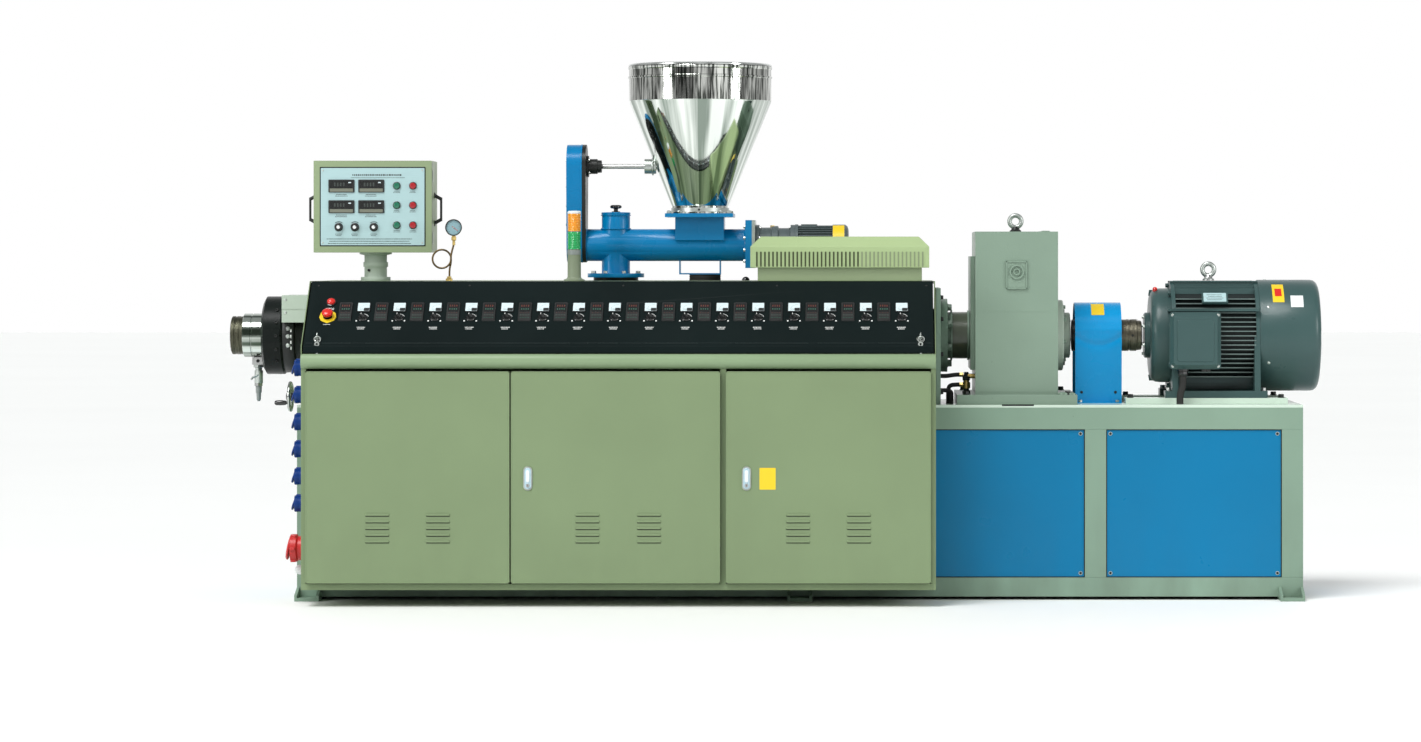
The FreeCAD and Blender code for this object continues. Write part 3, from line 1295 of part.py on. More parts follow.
def oil_hoses():
    """Two hoses from the bearing wall and one from the deck up to the valve."""
    wall_x = FLANGE_X + CURVED_GAP
    valve_x = GEARBOX_X + VALVE_X - VALVE_RADIUS - CURVED_GAP
    floor_z = DECK_HEIGHT + CURVED_GAP
    high = DECK_HEIGHT + GEARBOX_FOOT_THICKNESS + NIPPLE_HEIGHT
    upper = [Vector(wall_x, HOSE_Y, high), Vector(wall_x + HOSE_STRAIGHT, HOSE_Y, high),
             Vector(valve_x - HOSE_STRAIGHT, HOSE_Y, high + HOSE_RISE),
             Vector(valve_x, HOSE_Y, high + HOSE_RISE)]
    rise_x = valve_x - RISING_HOSE_SETBACK
    rising = [Vector(rise_x, HOSE_Y, floor_z), Vector(rise_x, HOSE_Y, RISING_HOSE_HEIGHT),
              Vector(valve_x, HOSE_Y, RISING_HOSE_HEIGHT)]
    drop_x = wall_x + LOW_HOSE_REACH
    low = [Vector(wall_x, LOW_HOSE_Y, LOW_HOSE_HEIGHT),
           Vector(drop_x, LOW_HOSE_Y, LOW_HOSE_HEIGHT),
           Vector(drop_x, LOW_HOSE_Y, floor_z)]
    return [bent_tube(points, HOSE_RADIUS) for points in (upper, rising, low)]


def hoses_and_cable():
    return oil_hoses() + [motor_cable()]


# ---- feeder --------------------------------------------------------------------------------
def feed_tube_end_x():
    return FEED_TUBE_X + FEED_TUBE_LENGTH


def inlet_duct():
    """Welded inlet under the hopper: a square duct with the flange on top of it."""
    duct = centred_box(HOPPER_X, 0, FEED_DUCT_BOTTOM, FEED_DUCT_LENGTH, FEED_DUCT_WIDTH,
                       DUCT_FLANGE_BOTTOM - FEED_DUCT_BOTTOM)
    plate = centred_box(HOPPER_X, 0, DUCT_FLANGE_BOTTOM, DUCT_FLANGE_LENGTH, DUCT_FLANGE_WIDTH,
                        DUCT_FLANGE_THICKNESS)
    return fuse(duct, plate)


def inlet_throat():
    return centred_box(HOPPER_X, 0, FEED_AXIS_HEIGHT, FEED_DUCT_LENGTH - 2 * FEED_DUCT_WALL,
                       THROAT_WIDTH, HOPPER_BOTTOM - FEED_AXIS_HEIGHT)


def feeder_body():
    """Screw tube with the inspection port, outlet, inlet duct, end flange and strap."""
    tube = rod_x(FEED_TUBE_X, feed_tube_end_x(), FEED_TUBE_RADIUS, 0, FEED_AXIS_HEIGHT)
    flange_bottom = CONSOLE_TOP + FEED_RING_THICKNESS
    flange_top = flange_bottom + FEED_PORT_FLANGE_THICKNESS
    port = rod_z(flange_top, FEED_PORT_TOP, FEED_PORT_RADIUS, FEED_PORT_X, 0)
    flange = rod_z(flange_bottom, flange_top, FEED_PORT_FLANGE_RADIUS, FEED_PORT_X, 0)
    body = fuse(tube, port, flange, inlet_duct(), feeder_end_flange(), *feeder_strap())
    return [cut(body, inlet_throat())]


def port_cap():
    """Lid of the inspection port with its clamping knob."""
    plate_top = FEED_PORT_TOP + PORT_CAP_THICKNESS
    stem_top = plate_top + PORT_KNOB_STEM_HEIGHT
    plate = rod_z(FEED_PORT_TOP, plate_top, FEED_PORT_RADIUS, FEED_PORT_X, 0)
    stem = rod_z(plate_top, stem_top, PORT_KNOB_STEM_RADIUS, FEED_PORT_X, 0)
    knob = rod_z(stem_top, stem_top + PORT_KNOB_HEIGHT, PORT_KNOB_RADIUS, FEED_PORT_X, 0)
    return fuse(plate, stem, knob)


def feeder_seals():
    """Ring under the outlet flange, foot under the strap and the dome stop on the cover."""
    ring = rod_z(CONSOLE_TOP, CONSOLE_TOP + FEED_RING_THICKNESS, FEED_RING_RADIUS, FEED_PORT_X, 0)
    foot_x = HOPPER_X + SUPPORT_DISC_OFFSET
    foot = rod_z(CONSOLE_TOP, STRAP_BOTTOM, SUPPORT_DISC_RADIUS, foot_x, 0)
    ball = Part.makeSphere(HOOD_KNOB_RADIUS, Vector(HOOD_KNOB_X, 0, CONSOLE_TOP))
    keep = centred_box(HOOD_KNOB_X, 0, CONSOLE_TOP, 4 * HOOD_KNOB_RADIUS, 4 * HOOD_KNOB_RADIUS,
                       2 * HOOD_KNOB_RADIUS)
    return [ring, foot, ball.common(keep)]


def feeder_fittings():
    return [port_cap()] + feeder_seals()


def feeder_strap():
    """Flat bar bent to a U under the tube; it stands on the rubber foot."""
    half = STRAP_LENGTH / 2
    width = STRAP_WIDTH / 2
    bars = [box(HOPPER_X - half, HOPPER_X + half, -width, width, STRAP_BOTTOM,
                STRAP_BOTTOM + STRAP_BAR)]
    for x in (HOPPER_X - half, HOPPER_X + half - STRAP_BAR):
        bars.append(box(x, x + STRAP_BAR, -width, width, STRAP_BOTTOM, STRAP_SIDE_TOP))
    return bars


def flange_block(x0, x1):
    half = (FEED_FLANGE_TOP - FEED_FLANGE_BOTTOM) / 2
    return box(x0, x1, -half, half, FEED_FLANGE_BOTTOM, FEED_FLANGE_TOP)


def feeder_end_flange():
    x0 = feed_tube_end_x()
    return flange_block(x0, x0 + FEED_FLANGE_THICKNESS)


def feeder_gearmotor():
    """Mounting plate, gear unit and motor on one line behind the end flange."""
    plate_x = feed_tube_end_x() + FEED_FLANGE_THICKNESS
    gear_x = plate_x + FEED_FLANGE_PLATE
    motor_x = gear_x + FEED_GEAR_LENGTH
    plate = flange_block(plate_x, gear_x)
    gear = rod_x(gear_x, motor_x, FEED_GEAR_RADIUS, 0, FEED_AXIS_HEIGHT)
    motor = rod_x(motor_x, motor_x + FEED_MOTOR_LENGTH, FEED_MOTOR_RADIUS, 0, FEED_AXIS_HEIGHT)
    return [fuse(plate, gear, motor)]


def chain_case(x0, x1):
    """Case around the upper and the lower chain wheel, with straight flanks between them."""
    top = rod_x(x0, x1, CHAIN_COVER_TOP_RADIUS, 0, AGITATOR_HEIGHT)
    bottom = rod_x(x0, x1, CHAIN_COVER_BOTTOM_RADIUS, 0, FEED_AXIS_HEIGHT)
    rise = ((CHAIN_COVER_TOP_RADIUS - CHAIN_COVER_BOTTOM_RADIUS)
            / (AGITATOR_HEIGHT - FEED_AXIS_HEIGHT))
    side = math.sqrt(1 - rise * rise)
    upper_y = CHAIN_COVER_TOP_RADIUS * side
    upper_z = AGITATOR_HEIGHT - CHAIN_COVER_TOP_RADIUS * rise
    lower_y = CHAIN_COVER_BOTTOM_RADIUS * side
    lower_z = FEED_AXIS_HEIGHT - CHAIN_COVER_BOTTOM_RADIUS * rise
    flanks = prism_x([(-upper_y, upper_z), (upper_y, upper_z), (lower_y, lower_z),
                      (-lower_y, lower_z)], x0, x1)
    return fuse(top, bottom, flanks)


def chain_cover():
    x1 = FEED_TUBE_X - CHAIN_COVER_BACK
    return [chain_case(x1 - CHAIN_COVER_THICKNESS, x1)]


def chain_cover_back():
    """Back plate of the chain case with the bearing that the agitator shaft turns in."""
    x1 = FEED_TUBE_X + AGITATOR_HUB_LENGTH
    hub = rod_x(FEED_TUBE_X, x1, AGITATOR_HUB_RADIUS, 0, AGITATOR_HEIGHT)
    bore = rod_x(FEED_TUBE_X, x1, AGITATOR_SHAFT_RADIUS + AGITATOR_CLEARANCE, 0, AGITATOR_HEIGHT)
    plate = chain_case(FEED_TUBE_X - CHAIN_COVER_BACK, FEED_TUBE_X)
    return [cut(fuse(plate, hub), bore)]


def agitator_shaft():
    """Shaft from the chain drive's bearing to the middle of the hopper."""
    return [rod_x(FEED_TUBE_X + AGITATOR_SHAFT_RADIUS, HOPPER_X, AGITATOR_SHAFT_RADIUS, 0,
                  AGITATOR_HEIGHT)]


# ---- hopper --------------------------------------------------------------------------------
def hopper_radius_at(z):
    share = (z - HOPPER_CONE_BOTTOM) / HOPPER_CONE_HEIGHT
    return HOPPER_COLLAR_RADIUS + share * (HOPPER_RADIUS - HOPPER_COLLAR_RADIUS)


def hopper_profile(inset, bottom, top):
    return [(0, bottom), (HOPPER_COLLAR_RADIUS - inset, bottom),
            (HOPPER_COLLAR_RADIUS - inset, HOPPER_CONE_BOTTOM),
            (HOPPER_RADIUS - inset, HOPPER_CONE_TOP), (HOPPER_RADIUS - inset, top), (0, top)]


def hopper_shell():
    """Collar, cone and rim with the boss that the agitator shaft passes through."""
    outer = turned_z(hopper_profile(0, HOPPER_BOTTOM, HOPPER_TOP), HOPPER_X)
    inner = turned_z(hopper_profile(HOPPER_WALL, HOPPER_BOTTOM, HOPPER_TOP), HOPPER_X)
    flange = rod_z(HOPPER_BOTTOM, HOPPER_BOTTOM + HOPPER_FLANGE_THICKNESS,
                   HOPPER_FLANGE_RADIUS, HOPPER_X, 0)
    wall_x = HOPPER_X - hopper_radius_at(AGITATOR_HEIGHT)
    boss = rod_x(wall_x - HOPPER_BOSS_LENGTH, wall_x + HOPPER_BOSS_RADIUS, HOPPER_BOSS_RADIUS, 0,
                 AGITATOR_HEIGHT)
    bore = rod_x(wall_x - 2 * HOPPER_BOSS_LENGTH, wall_x + 2 * HOPPER_BOSS_RADIUS,
                 AGITATOR_SHAFT_RADIUS + AGITATOR_CLEARANCE, 0, AGITATOR_HEIGHT)
    return [cut(fuse(outer, flange, boss), inner, bore)]


def hopper_lid():
    """Lift-off lid: a low crown with a skirt around the hopper's rim."""
    skirt_inner = HOPPER_RADIUS + LID_SKIRT_GAP
    skirt_outer = skirt_inner + LID_SHEET
    return [turned_z([(0, HOPPER_TOP), (skirt_inner, HOPPER_TOP),
                      (skirt_inner, HOPPER_TOP - LID_SKIRT), (skirt_outer, HOPPER_TOP - LID_SKIRT),
                      (skirt_outer, HOPPER_TOP + LID_SHEET),
                      (0, HOPPER_TOP + LID_SHEET + LID_CROWN)], HOPPER_X)]


# ---- vent hood, signal tower, gauge --------------------------------------------------------
def hood_y():
    return -HOOD_FRONT + HOOD_LID_WIDTH / 2


def vent_hood_base():
    return centred_box(HOOD_X, hood_y(), CONSOLE_TOP, HOOD_BASE_LENGTH, HOOD_BASE_WIDTH,
                       HOOD_LID_BOTTOM - CONSOLE_TOP)


def rectangle_wire(x, y, z, length, width):
    corners = [Vector(x - length / 2, y - width / 2, z), Vector(x + length / 2, y - width / 2, z),
               Vector(x + length / 2, y + width / 2, z), Vector(x - length / 2, y + width / 2, z)]
    return Part.makePolygon(corners + [corners[0]])


def vent_hood_lid():
    eaves = HOOD_LID_BOTTOM + HOOD_LID_SIDE
    sides = centred_box(HOOD_X, hood_y(), HOOD_LID_BOTTOM, HOOD_LID_LENGTH, HOOD_LID_WIDTH,
                        HOOD_LID_SIDE)
    low = rectangle_wire(HOOD_X, hood_y(), eaves, HOOD_LID_LENGTH, HOOD_LID_WIDTH)
    high = rectangle_wire(HOOD_X, hood_y(), eaves + HOOD_LID_RISE,
                          HOOD_LID_LENGTH - 2 * HOOD_LID_HIP, HOOD_LID_WIDTH - 2 * HOOD_LID_HIP)
    roof = Part.makeLoft([low, high], True, True)
    return fuse(sides, roof)


def vent_hood():
    return [fuse(vent_hood_base(), vent_hood_lid())]


def signal_tower_pole():
    base = rod_z(CONSOLE_TOP, CONSOLE_TOP + TOWER_BASE_THICKNESS, TOWER_BASE_RADIUS, TOWER_X, TOWER_Y)
    pole = rod_z(CONSOLE_TOP, TOWER_POLE_TOP, TOWER_RADIUS, TOWER_X, TOWER_Y)
    return [fuse(base, pole)]


def signal_tower_lamps():
    """Two lamp drums, one above the other, under their cap."""
    top = TOWER_POLE_TOP + 2 * TOWER_LAMP_HEIGHT + TOWER_CAP_HEIGHT
    return [rod_z(TOWER_POLE_TOP, top, TOWER_RADIUS, TOWER_X, TOWER_Y)]


def gauge_nut_bottom():
    return GAUGE_HEIGHT - GAUGE_RADIUS - GAUGE_NUT_HEIGHT


def gauge_case():
    half = GAUGE_THICKNESS / 2
    case = rod_y(GAUGE_Y - half, GAUGE_Y + half, GAUGE_RADIUS, GAUGE_X, GAUGE_HEIGHT)
    nut = rod_z(gauge_nut_bottom(), GAUGE_HEIGHT - GAUGE_RADIUS / 2, GAUGE_NUT_RADIUS,
                GAUGE_X, GAUGE_Y)
    return fuse(case, nut)


def gauge_base():
    return rod_z(CONSOLE_TOP, CONSOLE_TOP + SIPHON_BASE_HEIGHT, SIPHON_BASE_RADIUS,
                 GAUGE_X + SIPHON_BASE_X, GAUGE_Y + SIPHON_PITCH)


def gauge_siphon():
    """Pigtail tube: down from the gauge, once around its loop and on to the base."""
    corners = 8
    step = math.pi * 2 / corners
    reach = SIPHON_LOOP_RADIUS / math.cos(step / 2)
    points = [Vector(GAUGE_X, GAUGE_Y, gauge_nut_bottom())]
    turns = corners + 2
    for index in range(turns):
        angle = step / 2 - index * step
        points.append(Vector(GAUGE_X + SIPHON_LOOP_X + reach * math.cos(angle),
                             GAUGE_Y + SIPHON_PITCH * index / (turns - 1),
                             SIPHON_LOOP_HEIGHT + reach * math.sin(angle)))
    base_x = GAUGE_X + SIPHON_BASE_X
    base_y = GAUGE_Y + SIPHON_PITCH
    base_top = CONSOLE_TOP + SIPHON_BASE_HEIGHT
    points.append(Vector(base_x, base_y, base_top + SIPHON_LOOP_RADIUS))
    points.append(Vector(base_x, base_y, base_top))
    return bent_tube(points, SIPHON_RADIUS)


def pressure_gauge():
    return [fuse(gauge_case(), gauge_siphon(), gauge_base())]


# ---- operator box --------------------------------------------------------------------------
def panel_box_front():
    return PANEL_BOX_Y - PANEL_BOX_DEPTH / 2


def operator_box():
    case = centred_box(PANEL_BOX_X, PANEL_BOX_Y, PANEL_BOX_BOTTOM, PANEL_BOX_LENGTH,
                       PANEL_BOX_DEPTH, PANEL_BOX_HEIGHT)
    socket = rod_z(PANEL_BOX_BOTTOM, PANEL_BOX_BOTTOM + PEDESTAL_SPIGOT_HEIGHT,
                   PEDESTAL_SPIGOT_RADIUS + SWIVEL_CLEARANCE, PANEL_BOX_X, PANEL_BOX_Y)
    return [cut(case, socket)]


def operator_plate():
    front = panel_box_front()
    length = PANEL_BOX_LENGTH - 2 * PANEL_FACE_MARGIN
    height = PANEL_BOX_HEIGHT - 2 * PANEL_FACE_MARGIN
    return [centred_box(PANEL_BOX_X, front - PANEL_FACE_PROUD / 2,
                        PANEL_BOX_BOTTOM + PANEL_FACE_MARGIN, length, PANEL_FACE_PROUD, height)]


def panel_face_y():
    return panel_box_front() - PANEL_FACE_PROUD


def panel_rod(column, row, radius, proud):
    face = panel_face_y()
    return rod_y(face - proud, face, radius, PANEL_BOX_X + column, PANEL_BOX_BOTTOM + row)


def operator_meters():
    face = panel_face_y()
    meters = []
    for column in PANEL_METER_COLUMNS:
        for row in PANEL_METER_ROWS:
            meters.append(centred_box(PANEL_BOX_X + column, face - PANEL_METER_PROUD / 2,
                                      PANEL_BOX_BOTTOM + row - PANEL_METER_HEIGHT / 2,
                                      PANEL_METER_WIDTH, PANEL_METER_PROUD, PANEL_METER_HEIGHT))
    return meters


def operator_knobs():
    return [panel_rod(column, PANEL_KNOB_ROW, PANEL_KNOB_RADIUS, PANEL_KNOB_PROUD)
            for column in PANEL_KNOB_COLUMNS]


def operator_buttons():
    return [panel_rod(column, row, PANEL_BUTTON_RADIUS, PANEL_BUTTON_PROUD)
            for column in (PANEL_START_COLUMN, PANEL_STOP_COLUMN) for row in PANEL_BUTTON_ROWS]


def operator_instruments():
    return operator_meters() + operator_knobs() + operator_buttons()


def operator_handle(side):
    """Flat-bar handle on one side of the box; side is -1 for the left, 1 for the right."""
    wall = PANEL_BOX_X + side * PANEL_BOX_LENGTH / 2
    tip = wall + side * PANEL_HANDLE_REACH
    low_x, high_x = sorted((wall, tip))
    y0 = PANEL_BOX_Y - PANEL_HANDLE_BAR
    y1 = PANEL_BOX_Y + PANEL_HANDLE_BAR
    bottom = PANEL_BOX_BOTTOM + PANEL_HANDLE_BOTTOM
    top = PANEL_BOX_BOTTOM + PANEL_HANDLE_TOP
    grip_low, grip_high = sorted((tip, tip - side * PANEL_HANDLE_BAR))
    return fuse(box(low_x, high_x, y0, y1, bottom, bottom + PANEL_HANDLE_BAR),
                box(low_x, high_x, y0, y1, top - PANEL_HANDLE_BAR, top),
                box(grip_low, grip_high, y0, y1, bottom, top))


def operator_handles():
    return [operator_handle(-1), operator_handle(1)]


def operator_pedestal():
    """Column from the top cover with its collar and the spigot that the box turns on."""
    top = PANEL_BOX_BOTTOM - SWIVEL_GAP
    flange = rod_z(CONSOLE_TOP, CONSOLE_TOP + PEDESTAL_FLANGE_THICKNESS, PEDESTAL_FLANGE_RADIUS,
                   PANEL_BOX_X, PANEL_BOX_Y)
    column = rod_z(CONSOLE_TOP, top, PEDESTAL_RADIUS, PANEL_BOX_X, PANEL_BOX_Y)
    collar_bottom = (CONSOLE_TOP + top) / 2
    collar = rod_z(collar_bottom, collar_bottom + PEDESTAL_RING_HEIGHT, PEDESTAL_RING_RADIUS,
                   PANEL_BOX_X, PANEL_BOX_Y)
    spigot_top = PANEL_BOX_BOTTOM + PEDESTAL_SPIGOT_HEIGHT - SWIVEL_GAP
    spigot = rod_z(top, spigot_top, PEDESTAL_SPIGOT_RADIUS, PANEL_BOX_X, PANEL_BOX_Y)
    return [fuse(flange, column, collar, spigot)]


# ---- left end ------------------------------------------------------------------------------
def socket_heights():
    return [SOCKET_LOWEST + index * SOCKET_PITCH for index in range(SOCKET_COUNT)]


def power_socket(z):
    base = centred_box(CABINET_LEFT_X - SOCKET_BASE_THICKNESS / 2, SOCKET_Y, z - SOCKET_BASE / 2,
                       SOCKET_BASE_THICKNESS, SOCKET_BASE, SOCKET_BASE)
    body = rod_x(CABINET_LEFT_X - SOCKET_REACH, CABINET_LEFT_X - SOCKET_BASE_THICKNESS,
                 SOCKET_RADIUS, SOCKET_Y, z)
    return fuse(base, body)


def heater_sockets():
    return [power_socket(z) for z in socket_heights()]


def main_socket():
    return rod_x(CABINET_LEFT_X - MAIN_SOCKET_REACH, CABINET_LEFT_X, MAIN_SOCKET_RADIUS,
                 SOCKET_Y, MAIN_SOCKET_HEIGHT)


def cable_gland():
    return rod_x(CABINET_LEFT_X - CABLE_GLAND_REACH, CABINET_LEFT_X, CABLE_GLAND_RADIUS,
                 SOCKET_Y + SOCKET_BASE, CABLE_GLAND_HEIGHT)


def handwheel_boss():
    x0 = CABINET_LEFT_X - WHEEL_BOSS_LENGTH
    boss = rod_x(x0, CABINET_LEFT_X, WHEEL_BOSS_RADIUS, WHEEL_Y, WHEEL_HEIGHT)
    bore = rod_x(x0, CABINET_LEFT_X, WHEEL_SHAFT_RADIUS + WHEEL_CLEARANCE, WHEEL_Y, WHEEL_HEIGHT)
    return cut(boss, bore)


def left_wall_fittings():
    return heater_sockets() + [main_socket(), cable_gland(), handwheel_boss()]


def handwheel():
    """Rim, spokes, hub, grip and the shaft that turns in the boss."""
    x = CABINET_LEFT_X - WHEEL_REACH
    rim_centre = WHEEL_RADIUS - WHEEL_RIM_RADIUS
    centre = Vector(x, WHEEL_Y, WHEEL_HEIGHT)
    rim = Part.makeTorus(rim_centre, WHEEL_RIM_RADIUS, centre, Vector(1, 0, 0))
    hub = rod_x(x - WHEEL_HUB_LENGTH / 2, x + WHEEL_HUB_LENGTH / 2, WHEEL_HUB_RADIUS,
                WHEEL_Y, WHEEL_HEIGHT)
    shaft = rod_x(x, CABINET_LEFT_X - WHEEL_SHAFT_RADIUS, WHEEL_SHAFT_RADIUS, WHEEL_Y, WHEEL_HEIGHT)
    spokes = []
    for index in range(WHEEL_SPOKES):
        angle = grip_angle() + 2 * math.pi * index / WHEEL_SPOKES
        direction = Vector(0, math.cos(angle), math.sin(angle))
        spokes.append(Part.makeCylinder(WHEEL_SPOKE_RADIUS, rim_centre, centre, direction))
    return [fuse(rim, hub, shaft, handwheel_grip(), *spokes)]


def grip_angle():
    """Angle of the grip around the wheel, counted from +y; it points to the operator."""
    rim_centre = WHEEL_RADIUS - WHEEL_RIM_RADIUS
    return math.pi + math.asin(GRIP_DOWN / rim_centre)


def handwheel_grip():
    rim_centre = WHEEL_RADIUS - WHEEL_RIM_RADIUS
    y = WHEEL_Y + rim_centre * math.cos(grip_angle())
    z = WHEEL_HEIGHT + rim_centre * math.sin(grip_angle())
    x1 = CABINET_LEFT_X - WHEEL_REACH
    return rod_x(x1 - WHEEL_RIM_RADIUS - GRIP_LENGTH, x1, GRIP_RADIUS, y, z)


NODES = {
    "base_rails": base_rails,
    "base_posts": base_posts,
    "base_cross_beams": base_cross_beams,
    "base_deck": base_deck,
    "base_feet": base_feet,
    "infill_panels": infill_panels,
    "cabinet_back_and_floor": cabinet_back_and_floor,
    "cabinet_walls": cabinet_walls,
    "cabinet_band": cabinet_band,
    "hinge_pins": hinge_pins,
    "left_door_panel": lambda: [door_panel("left")],
    "middle_door_panel": lambda: [door_panel("middle")],
    "middle_door_lock": lambda: [door_lock("middle")],
    "right_door_panel": lambda: [door_panel("right")],
    "right_door_lock": lambda: [door_lock("right")],
    "fascia_panel": fascia_panel,
    "temperature_controllers": temperature_controllers,
    "fascia_instruments": fascia_instruments,
    "stop_button": stop_button,
    "end_covers": end_covers,
    "top_cover": top_cover,
    "rear_cover": rear_cover,
    "adaptor_nose": adaptor_nose,
    "die_adaptor": die_adaptor,
    "head_heater_ring": head_heater_ring,
    "head_sensor": head_sensor,
    "barrel": barrel,
    "barrel_end_hood": barrel_end_hood,
    "transfer_housing": transfer_housing,
    "gearbox_housing": gearbox_housing,
    "gearbox_covers": gearbox_covers,
    "lifting_eyes": lifting_eyes,
    "oil_valve": oil_valve,
    "hoses_and_cable": hoses_and_cable,
    "drive_coupling": drive_coupling,
    "coupling_guard": coupling_guard,
    "motor_slide_rails": motor_slide_rails,
    "motor_frame": motor_frame,
    "motor_cowl": motor_cowl,
    "motor_terminal_box": motor_terminal_box,
    "feeder_body": feeder_body,
    "feeder_fittings": feeder_fittings,
    "feeder_gearmotor": feeder_gearmotor,
    "chain_cover": chain_cover,
    "chain_cover_back": chain_cover_back,
    "agitator_shaft": agitator_shaft,
    "hopper_shell": hopper_shell,
    "hopper_lid": hopper_lid,
    "vent_hood": vent_hood,
    "signal_tower_pole": signal_tower_pole,
    "signal_tower_lamps": signal_tower_lamps,
    "pressure_gauge": pressure_gauge,
    "operator_box": operator_box,
    "operator_plate": operator_plate,
    "operator_instruments": operator_instruments,
    "operator_handles": operator_handles,
    "operator_pedestal": operator_pedestal,
    "left_wall_fittings": left_wall_fittings,
    "handwheel": handwheel,
}


def export_nodes():
    os.makedirs("parts", exist_ok=True)
    for name, build in NODES.items():
        built = build()
        shape = Part.makeCompound(built) if isinstance(built, list) else built
        shape.translate(Vector(0, AXIS_Y, 0))
        print(name, len(shape.Solids), "valid" if shape.isValid() else "INVALID")
        shape.exportStep("parts/" + name + ".step")


export_nodes()
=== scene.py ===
"""Looks of the plastic extruder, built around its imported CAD. Metres; x to the motor, z up."""

from math import asin, cos, exp, pi, radians, sin, sqrt
import random

import bmesh
import bpy
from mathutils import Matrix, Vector


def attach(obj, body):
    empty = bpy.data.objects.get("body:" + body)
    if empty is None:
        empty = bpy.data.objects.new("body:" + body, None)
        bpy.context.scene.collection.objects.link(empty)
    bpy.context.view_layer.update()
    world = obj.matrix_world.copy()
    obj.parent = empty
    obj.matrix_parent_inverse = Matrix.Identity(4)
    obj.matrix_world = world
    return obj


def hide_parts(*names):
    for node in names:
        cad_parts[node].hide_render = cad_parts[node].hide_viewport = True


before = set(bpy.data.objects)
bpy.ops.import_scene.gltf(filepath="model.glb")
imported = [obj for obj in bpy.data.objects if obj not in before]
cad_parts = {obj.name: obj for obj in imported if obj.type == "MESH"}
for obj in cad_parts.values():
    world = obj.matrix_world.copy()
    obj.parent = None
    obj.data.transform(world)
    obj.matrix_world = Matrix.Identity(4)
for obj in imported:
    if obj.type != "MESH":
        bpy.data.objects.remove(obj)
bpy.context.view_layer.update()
MM = 0.001
AXIS_BACK = 148  # the drive axis lies this far behind the frame's origin
DECK = 716  # top of the base's deck
COVER = 1171  # top of the cabinet's cover
DOORS = -721  # face of the doors
LEFT = Vector((-1, 0, 0))
RIGHT = Vector((1, 0, 0))
FRONT = Vector((0, -1, 0))
BACK = Vector((0, 1, 0))
UP = Vector((0, 0, 1))
DOWN = Vector((0, 0, -1))


# ---- materials: every one is a principled shader with its own procedural detail --------
class Tree:
    """Node tree of a material or of the world, with short ways to add nodes and join them."""

    def __init__(self, owner):
        owner.use_nodes = True
        self.nodes = owner.node_tree.nodes
        self.links = owner.node_tree.links

    def feed(self, socket, value):
        """A socket takes another node's output, or a constant of its own."""
        if isinstance(value, bpy.types.NodeSocket):
            self.links.new(value, socket)
        else:
            socket.default_value = value

    def add(self, kind, inputs, output=0, operation=None):
        """Adds a node and gives back one of its outputs."""
        node = self.nodes.new("ShaderNode" + kind)
        if operation:
            node.operation = operation
        for key, value in inputs.items():
            self.feed(node.inputs[key], value)
        return node.outputs[output]

    def own_place(self):
        """Coordinates that stay on the piece as it moves."""
        return self.add("TexCoord", {}, "Object")

    def axes(self, vector):
        return [self.add("SeparateXYZ", {0: vector}, axis) for axis in "XYZ"]

    def maths(self, operation, first, second):
        return self.add("Math", {0: first, 1: second}, 0, operation)

    def noise(self, scale, detail=4.0, stretch=(1, 1, 1)):
        place = self.add("Mapping", {"Vector": self.own_place(), "Scale": stretch})
        return self.add("TexNoise", {"Vector": place, "Scale": scale, "Detail": detail}, "Fac")

    def ranged(self, value, low, high, new_low=0.0, new_high=1.0):
        inputs = {"Value": value, "From Min": low, "From Max": high, "To Min": new_low,
            "To Max": new_high}
        return self.add("MapRange", inputs, "Result")

    def spread(self, value, low, high):
        """Noise values, which lie around a half, spread between low and high."""
        return self.ranged(value, 0.3, 0.7, low, high)

    def mixed(self, factor, first, second):
        """Two colours, or outputs that carry colours, mixed by a factor."""
        mix = self.nodes.new("ShaderNodeMix")
        mix.data_type = "RGBA"
        sockets = [socket for socket in mix.inputs if socket.type == "RGBA"]
        for socket, colour in zip(sockets, (first, second)):
            linked = isinstance(colour, bpy.types.NodeSocket)
            self.feed(socket, colour if linked else (*colour, 1))
        self.feed(mix.inputs[0], factor)
        return [socket for socket in mix.outputs if socket.type == "RGBA"][0]


class Finish(Tree):
    """A material whose principled shader is fed from nodes of its own."""

    def __init__(self, name):
        self.material = bpy.data.materials.new(name)
        super().__init__(self.material)
        self.sockets = self.nodes["Principled BSDF"].inputs

    def set(self, **values):
        """Feeds the shader's sockets; an underscore stands for a space in a socket's name."""
        for name, value in values.items():
            self.feed(self.sockets[name.replace("_", " ")], value)

    def bumpy(self, height, strength):
        inputs = {"Strength": strength, "Distance": MM, "Height": height}
        self.set(Normal=self.add("Bump", inputs, "Normal"))


